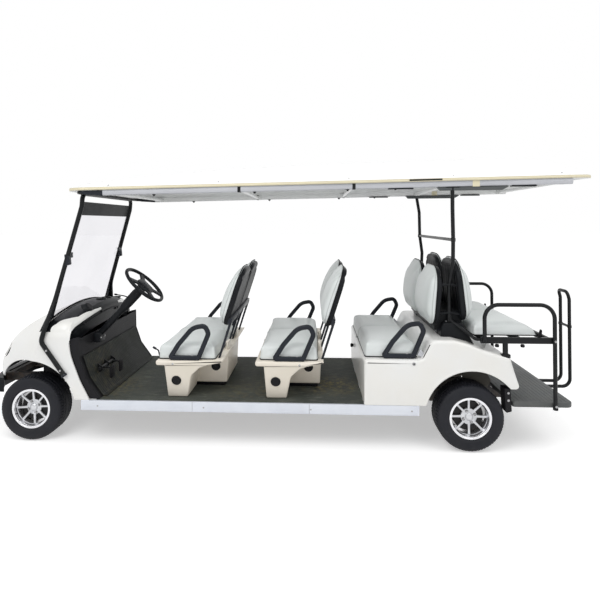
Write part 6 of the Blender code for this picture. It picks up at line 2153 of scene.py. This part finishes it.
    def pedestals(self) -> None:
        """Mould the seat bases: a drawn-in leg, a wide flange, a rear box standing on a near-black
        plinth of painted shadow, and vents.

        The leg's half-width grows from its foot by the share of its height to the power
        0.8.
        """
        floor, top = 0.3250, PEDESTAL_TOP
        for name, x in (("row_1", 0.0), ("row_2", 0.71)):
            shape = Shape()
            leg = loop([(x + 0.990, top - 0.028, 0.004), (x + 1.005, floor, 0.012),
                        (x + 1.147, floor, 0.012), (x + 1.181, top - 0.112, 0.05),
                        (x + 1.243, top - 0.054, 0.05), (x + 1.333, top - 0.023, 0.004)], 8)

            def width(z: Array | float) -> Array | float:
                """Return the leg's half-width at a height."""
                return 0.512 + 0.056 * np.clip((z - floor) / 0.24, 0, 1) ** 0.8

            rings = []
            for share in np.linspace(0, np.pi / 2, 5):
                ring = inward(leg, 0.010 * (1 - math.sin(share)))
                across = width(ring[:, 1]) - 0.010 * (1 - math.cos(share))
                rings.append(np.column_stack([ring[:, 0], -across, ring[:, 1]]))
            rings += [ring * (1, -1, 1) for ring in rings[::-1]]
            shape.grid(shifted(np.stack(rings)))
            flange = loop([
                (x + 0.931, top, 0.012), (x + 0.931, top - 0.035, 0.016),
                (x + 1.290, top - 0.034, 0.04), (x + 1.405, top - 0.012, 0.010),
                (x + 1.415, top, 0.004)])
            shape.plate(flange, -(BODY_HALF - 0.025), BODY_HALF - 0.025, 0.009)
            box = loop([(x + 1.12, 0.352, 0.01), (x + 1.388, 0.352, 0.012),
                        (x + 1.400, top - 0.02, 0.01), (x + 1.12, top - 0.02, 0.01)], 4)
            shape.plate(box, -0.26, 0.26, 0.010)
            # Near-black plinth between the raised rear box and the floor: painted shadow, the dark
            # line beneath the box.
            shape.block((x + 1.13, x + 1.370), (-0.24, 0.24), (floor, 0.356), 0.003, 1)
            for side in BOTH:
                shape.block((x + 1.3775, x + 1.3995), (side * 0.15, side * 0.255),
                            (top - 0.03, top + 0.06), 0.004)
                vent_z = top - 0.148
                slope = (width(vent_z + 0.034) - width(vent_z - 0.034)) / 0.068
                self.vent(shape, at(x + 1.073, side * (width(vent_z) + 0.0015), vent_z),
                          (0, side, -slope))
                self.vent(shape, at(x + 1.302, side * 0.2605, top - 0.124), (0, side, 0))
                shape.turn([(0, 0.003), (0.005, 0.0028), (0.008, 0.0), (0.008, -0.003),
                            (0, -0.003)], at(1.054 if x == 0 else 1.953,
                                             side * (BODY_HALF - 0.025), 0.577),
                           (0, side, 0), 16, 2)
            shape.stand(f"seat_pedestal_{name}", [CREAM, LINING, STEEL], "cream_panel",
                        f"pedestal_{name}")

    @staticmethod
    def vent(shape: Shape, centre: Point, axis: Point) -> None:
        """Add a round vent: a dark louvred disc in a thin raised ring."""
        shape.turn([(0, 0.0020), (0.006, 0.0020), (0.007, 0.0008), (0.013, 0.0008),
                    (0.014, 0.0020), (0.020, 0.0020), (0.021, 0.0008), (0.027, 0.0008),
                    (0.028, 0.0030), (0.0325, 0.0026), (0.035, 0.0), (0.035, -0.008),
                    (0, -0.008)], centre, axis, 40, 1)

    def build(self) -> None:
        """Make every seat."""
        self.pads()
        self.shells()
        self.armrests()
        self.pedestals()


# ----------------------------------------------------------------- rear body
@dataclass
class RearBody:
    """Hollow rear body with wheel arches, and small fittings on its sides."""

    half: float = BODY_HALF
    hub: float = WHEELBASE
    arch: tuple[float, float, float] = (WHEELBASE + 0.01, TYRE_RADIUS + 0.0055,
                                        TYRE_RADIUS + 0.0955)
    soft: float = 0.026
    wall: float = 0.010

    def outline(self, inset: float, opened: bool) -> Array:
        """Return the body's side view, or with an inset that of the hollow in it."""
        low = BODY_FOOT - (0.1 if opened else 0.0)
        rear_low = 0.44 - (0.2 if opened else 0.0)
        i, hub, soft = inset, self.hub, 0.030
        return loop([
            (hub - 0.722 + i, low, 0.004), (hub - 0.722 + i, 0.63 - i, 0.020),
            (hub - 0.330 - i * 0.3, 0.63 - i, 0.05),
            (hub - 0.260 - i * 0.3, 0.765 - i, 0.05), (hub - 0.110 - i * 0.3, 0.765 - i, 0.06),
            (hub - 0.005 - i * 0.3, 0.738 - i, 0.1), (hub + 0.090 - i * 0.3, 0.700 - i, 0.2),
            (hub + 0.265 - i, 0.650 - i, 0.03),
            (hub + 0.290 - i, 0.56, 0.14), (hub + 0.322 - i, rear_low, soft * 0.7),
            (hub + 0.18, rear_low, 0.01), (hub - 0.22, low, 0.01)], 7)

    def shell(self) -> None:
        """Stand the outline up with round rims; cut its hollow, arches and battery bay."""
        soft, outline = self.soft, self.outline(0.0, False)
        high = eased((outline[:, 1] - 0.46) / 0.12)
        rows = []
        for t in np.linspace(0, np.pi / 2, 7):
            ring = inward(outline, soft * (1 - math.sin(t)) * (0.15 + 0.85 * high))
            y = -(self.half - soft * (1 - math.cos(t)) * (0.15 + 0.85 * high))
            rows.append(np.column_stack([ring[:, 0], y, ring[:, 1]]))
        rows += [row * (1, -1, 1) for row in rows[::-1]]
        body = Shape().grid(shifted(np.stack(rows))).made("moulded_rear_body", [WHITE_BODY])
        half = self.half - self.wall
        hollow = Shape().plate(self.outline(self.wall, True), -half, half, 0.0005)
        tools = [hollow.made("hollow", [LINING])]
        x, z, r = self.arch
        arch = Shape().turn([(0, -1.0), (r, -1.0), (r, 1.0), (0, 1.0)], at(x, 0, z), (0, 1, 0),
                            120)
        tools.append(arch.made("arch", [WHITE_BODY]))
        bay = self.half - 0.18
        tools.append(Shape().block((self.hub - 0.70, self.hub - 0.40), (-bay, bay), (0.55, 0.70),
                                   0.001).made("bay", [LINING]))
        for side in BOTH:
            groove = Shape().block((2.44, 2.835), (side * 0.5988, side * 0.61),
                                   (0.4285, 0.4315), 0.0005)
            tools.append(groove.made("groove", [WHITE_BODY]))
        carved(body, tools)
        settled(body, "white_panel", CHASSIS, "rear_body")

    def fittings(self) -> None:
        """Fit arch lips, the charger socket, a buckle, a knob, splash panels and brackets."""
        shape = Shape()
        x, z, r = self.arch
        for side in BOTH:
            y = side * self.half
            a = np.linspace(math.radians(14), math.radians(166), 60)
            path = np.stack([x + (r + 0.006) * np.cos(a), np.full(60, y + side * 0.0005),
                             z + (r + 0.006) * np.sin(a)], -1)
            keep = path[:, 2] > np.where(path[:, 0] > x, 0.452, 0.325)
            shape.grid(carried(shifted(path[keep]), oval(0.0022, 0.0075, 12, 3), (0, 1, 0)))
            socket = at(2.736, y, 0.604)
            shape.turn([(0, 0.0035), (0.008, 0.0035), (0.010, 0.0045), (0.0125, 0.002),
                        (0.0125, -0.003), (0, -0.003)], socket, (0, side, 0), 20, 1)
            shape.turn([(0, 0.001), (0.0060, 0.001), (0.0060, 0.004), (0, 0.004)], socket,
                       (0, side, 0), 14, 2)
            hook = loop([(2.765, 0.655, 0.004), (2.800, 0.640, 0.006), (2.812, 0.668, 0.006),
                         (2.786, 0.700, 0.006)], 4)
            shape.plate(hook, side * (self.half - 0.050), side * (self.half - 0.032), 0.002,
                        finish=3)
            panel = loop([(3.13, 0.42, 0.01), (3.30, 0.36, 0.01), (3.335, 0.42, 0.02),
                          (3.27, 0.545, 0.05), (3.18, 0.578, 0.04), (3.13, 0.582, 0.01)], 5)
            shape.plate(panel, side * 0.345, side * 0.352, 0.001, finish=4)
            flap = loop([(3.345, 0.440, 0.004), (3.385, 0.440, 0.004), (3.392, 0.285, 0.008),
                         (3.352, 0.275, 0.008)], 4)
            shape.plate(flap, side * 0.500, side * 0.585, 0.002, finish=2)
            for dz in (0.0, 0.05):
                shape.bolt(at(3.37, side * 0.585, 0.36 + dz), (0, side, 0), 0.006, 0.004, 1)
        shape.turn([(0, 0.028), (0.013, 0.026), (0.017, 0.018), (0.014, 0.006), (0.007, 0.0),
                    (0.007, -0.020), (0, -0.020)], at(2.4005, 0.36, 0.495), (-1, 0, 0), 22, 2)
        shape.stand("rear_body_fittings", [WHITE_BODY, STEEL, LINING, GUTTER_GREY, SPLASH],
                    "white_panel")

    def build(self) -> None:
        """Make the rear body."""
        self.shell()
        self.fittings()


# ---------------------------------------------------------------------- tail
@dataclass
class Tail:
    """Rear bench frame with its handrails, the footstep and the grab hoop."""

    rail_y: float = BODY_HALF - 0.025
    hand_y: float = BODY_HALF - 0.005
    hand_top: float = 1.01
    step_front: float = WHEELBASE + 0.28
    step_rear: float = WHEELBASE + 0.685
    step_top: float = 0.35

    def bench(self) -> None:
        """Weld the seat rails, posts, cross bars and bent handrails."""
        front, rear = WHEELBASE + 0.07, WHEELBASE + 0.56
        low, high, post = 0.745, 0.787, rear - 0.005
        shape = Shape()
        for side in BOTH:
            y = side * self.rail_y
            shape.block((front, rear), (y - 0.0125, y + 0.0125), (low, high), 0.003, 0, 0.004)
            shape.block((self.step_front - 0.06, self.step_front - 0.03), (y - 0.0115, y + 0.0115),
                        (0.655, low + 0.01), 0.002, 0, 0.003)
            shape.block((self.step_front - 0.075, self.step_front - 0.015),
                        (y - 0.0155, y + 0.0155), (0.648, 0.6723), 0.0015, 0, 0.003)
            hand = side * self.hand_y
            shape.tube([(front + 0.022, hand, low + 0.01), (front + 0.022, hand, self.hand_top),
                        (post, hand, self.hand_top), (post, hand, 0.305)],
                       0.0135, 0.095, 20, (0, 1, 0), steps=12)
            for x in (3.30, 3.47):
                z = low - 0.012
                shape.turn([(0, 0.014), (0.012, 0.013), (0.015, 0.004), (0.011, -0.006),
                            (0, -0.008)], at(x, y, z), (0, 0, -1), 18, 1)
            end = loop([(3.580, 0.787, 0.004), (3.604, 0.787, 0.008), (3.608, 0.835, 0.010),
                        (3.598, 0.838, 0.004), (3.586, 0.806, 0.006)], 4)
            shape.plate(end, side * 0.545, side * 0.562, 0.002, finish=1)
            shape.turn([(0, -0.003), (0.0165, -0.003), (0.0165, 0.010), (0, 0.010)],
                       at(post, hand, 0.308), (0, 0, 1), 20, 1)
            for z in (0.766, 0.33):
                shape.bolt(at(post, side * (self.hand_y + 0.0125), z), (0, side, 0), 0.006,
                           0.0045, 2)
        for x in (front + 0.03, front + 0.26, rear - 0.04):
            shape.block((x - 0.0125, x + 0.0125), (-self.rail_y, self.rail_y),
                        (low + 0.006, high - 0.0004), 0.001, 0, 0.003)
        shape.stand("rear_bench_rails", [BLACK_TUBE, LINING, STEEL], "black_steel",
                    "rear_bench_frame")

    def step(self) -> None:
        """Mould the footstep: a rimmed plate with fine ribs across it."""
        half = self.hand_y - 0.0138
        outline = loop([(self.step_front, -half, 0.02), (self.step_rear, -half, 0.05),
                        (self.step_rear, half, 0.05), (self.step_front, half, 0.02)], 8)
        shape = Shape().plate(outline, self.step_top - 0.0355, self.step_top - 0.002, 0.006, 2)
        for k in range(13):
            x = self.step_front + 0.030 + k * 0.028
            bar = rounded_rectangle((x - 0.004, x + 0.004), (-half + 0.03, half - 0.03), 0.004, 3)
            shape.plate(bar, self.step_top - 0.004, self.step_top - 0.0010, 0.0008, 2)
        shape.stand("ribbed_footstep", [STEP_GREY], "step_plastic", "footstep")

    def hoop(self) -> None:
        """Bend the hoop behind the step: uprights, a narrow top and legs to the frame."""
        x, half, top, low = WHEELBASE + 0.91, 0.07, 1.03, 0.298
        foot = WHEELBASE + 0.6603
        shape = Shape()
        shape.tube([(foot, -half, low), (x, -half, low, 0.06), (x, -half, top - 0.06, 0.06),
                    (x - 0.015, -half, top, 0.035), (x - 0.015, half, top, 0.035),
                    (x, half, top - 0.06, 0.06), (x, half, low, 0.06), (foot, half, low)],
                   0.0125, 0.035, 18, (0, 1, 0))
        shape.tube([(x, -half, top - 0.27), (x, half, top - 0.27)], 0.010, sides=16,
                   start=(1, 0, 0))
        for side in BOTH:
            shape.block((foot, foot + 0.006), (side * half - 0.022, side * half + 0.022),
                        (low - 0.016, low + 0.016), 0.0015)
            shape.turn([(0.0125, -0.011), (0.016, -0.009), (0.016, 0.009), (0.0125, 0.011)],
                       at(x, side * half, top - 0.27), (0, 0, 1), 18, ring=True)
        shape.stand("bent_grab_hoop", [BLACK_TUBE], "black_steel", "grab_hoop")

    def build(self) -> None:
        """Make the tail."""
        self.bench()
        self.step()
        self.hoop()


# -------------------------------------------------------------------- studio
@dataclass
class Studio:
    """Pale floor and sky, soft lamps, and the camera."""

    eye: Point = (0.271, -4.062, 1.572)
    yaw: float = 0.0582
    pitch: float = 0.0097
    roll: float = -0.0042
    lens: float = 29.92
    shift: tuple[float, float] = (0.026, -0.1366)
    key: float = 95.0
    ambient: float = 0.72
    reach: float = 60.0
    glow: float = 0.42
    aim: Point = (0.2, 0.0, 0.7)

    def camera(self) -> None:
        """Stand the camera level with the roof, turned slightly towards the front."""
        data = bpy.data.cameras.new("camera")
        data.lens, data.sensor_width = self.lens, 36.0
        data.shift_x, data.shift_y = self.shift
        camera = stood("camera", data)
        turn = (Matrix.Rotation(self.yaw, 4, "Z")
                @ Matrix.Rotation(math.pi / 2 + self.pitch, 4, "X")
                @ Matrix.Rotation(self.roll, 4, "Z"))
        camera.matrix_world = Matrix.Translation(self.eye) @ turn
        bpy.context.scene.camera = camera

    @staticmethod
    def seen(w: Wiring) -> bpy.types.NodeSocket:
        """Return 1 for rays from the camera, gloss or glass, and 0 for all others."""
        path = w.add("LightPath").outputs
        return w.math("MAXIMUM", path["Is Camera Ray"], w.math(
            "MAXIMUM", path["Is Glossy Ray"], path["Is Transmission Ray"]))

    def sky(self) -> None:
        """Light everything evenly; the camera, gloss and glass see plain white."""
        world = bpy.data.worlds.new("studio sky")
        world.use_nodes = True
        w = Wiring(world.node_tree)
        strength = w.add("MapRange", {"Value": self.seen(w), "To Min": self.ambient,
                                      "To Max": 1.0})
        w.feed(world.node_tree.nodes["Background"], {"Color": (1.0, 1.0, 1.0),
                                                     "Strength": strength.outputs[0]})
        bpy.context.scene.world = world

    def floor(self) -> None:
        """Lay a pale floor whose unshaded part looks as white as the sky."""
        mesh = bpy.data.meshes.new("studio_floor")
        mesh.from_pydata([(-self.reach, -self.reach, 0), (self.reach, -self.reach, 0),
                          (self.reach, self.reach, 0), (-self.reach, self.reach, 0)], [],
                         [(0, 1, 2, 3)])
        floor = stood("studio_floor", mesh)
        material = bpy.data.materials.new("pale studio floor")
        material.use_nodes = True
        w = Wiring(material.node_tree)
        w.feed(material.node_tree.nodes["Principled BSDF"], {
            "Base Color": (0.86, 0.86, 0.86), "Roughness": 0.9, "Specular IOR Level": 0.0,
            "Emission Color": (1.0, 1.0, 1.0),
            "Emission Strength": w.math("MULTIPLY", self.seen(w), self.glow)})
        mesh.materials.append(material)

    def lamps(self) -> None:
        """Hang a broad key lamp up on the driver's side and a fill over the tail."""
        for name, spot, size, power in (("key lamp", (-1.6, -3.4, 4.6), 3.2, self.key),
                                        ("fill lamp", (3.0, -2.0, 3.8), 3.0, self.key * 0.35)):
            data = bpy.data.lights.new(name, "AREA")
            data.shape, data.size, data.energy = "DISK", size, power
            lamp = stood(name, data)
            lamp.location = spot
            away = Vector(spot) - Vector(self.aim)
            lamp.rotation_euler = away.to_track_quat("Z", "Y").to_euler()

    def build(self) -> None:
        """Set the whole studio up."""
        self.camera()
        self.sky()
        self.floor()
        self.lamps()
        bpy.context.scene.view_settings.view_transform = "Standard"


NODE_FINISHES: dict[str, Finish] = {
    "tyre_rubber": LINING, "alloy_rim": RIM_SILVER, "running_gear": CAST_IRON,
    "black_steel": BLACK_TUBE, "floor_rubber": MAT, "sill_metal": SILL_METAL,
    "white_panel": WHITE_BODY, "roof_white": ROOF_WHITE, "roof_rail": GUTTER_GREY,
    "black_plastic": BLACK_MOULDED, "cream_panel": CREAM, "seat_vinyl": VINYL,
    "step_plastic": STEP_GREY, "lamp_lens": LAMP_CLEAR, "clear_screen": CLEAR_SHEET}


def dress_nodes() -> None:
    """Give every CAD node the finish of its material slot."""
    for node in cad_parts.values():
        for slot in node.material_slots:
            slot.material = NODE_FINISHES[slot.material.name].material()


def main() -> None:
    """Build the studio and every sub-assembly, then note the sizes."""
    logging.basicConfig(level=logging.INFO, format="%(message)s")
    Studio().build()
    dress_nodes()
    for where in ("front", "rear"):
        for side_name, side in SIDES:
            RoadWheel(where, side_name, side).build()
    RunningGear().build()
    Roof().build()
    RoofFrames().build()
    FrontBody().build()
    Floor().build()
    Controls().build()
    Seats().build()
    RearBody().build()
    Tail().build()


if __name__ == "__main__":
    main()
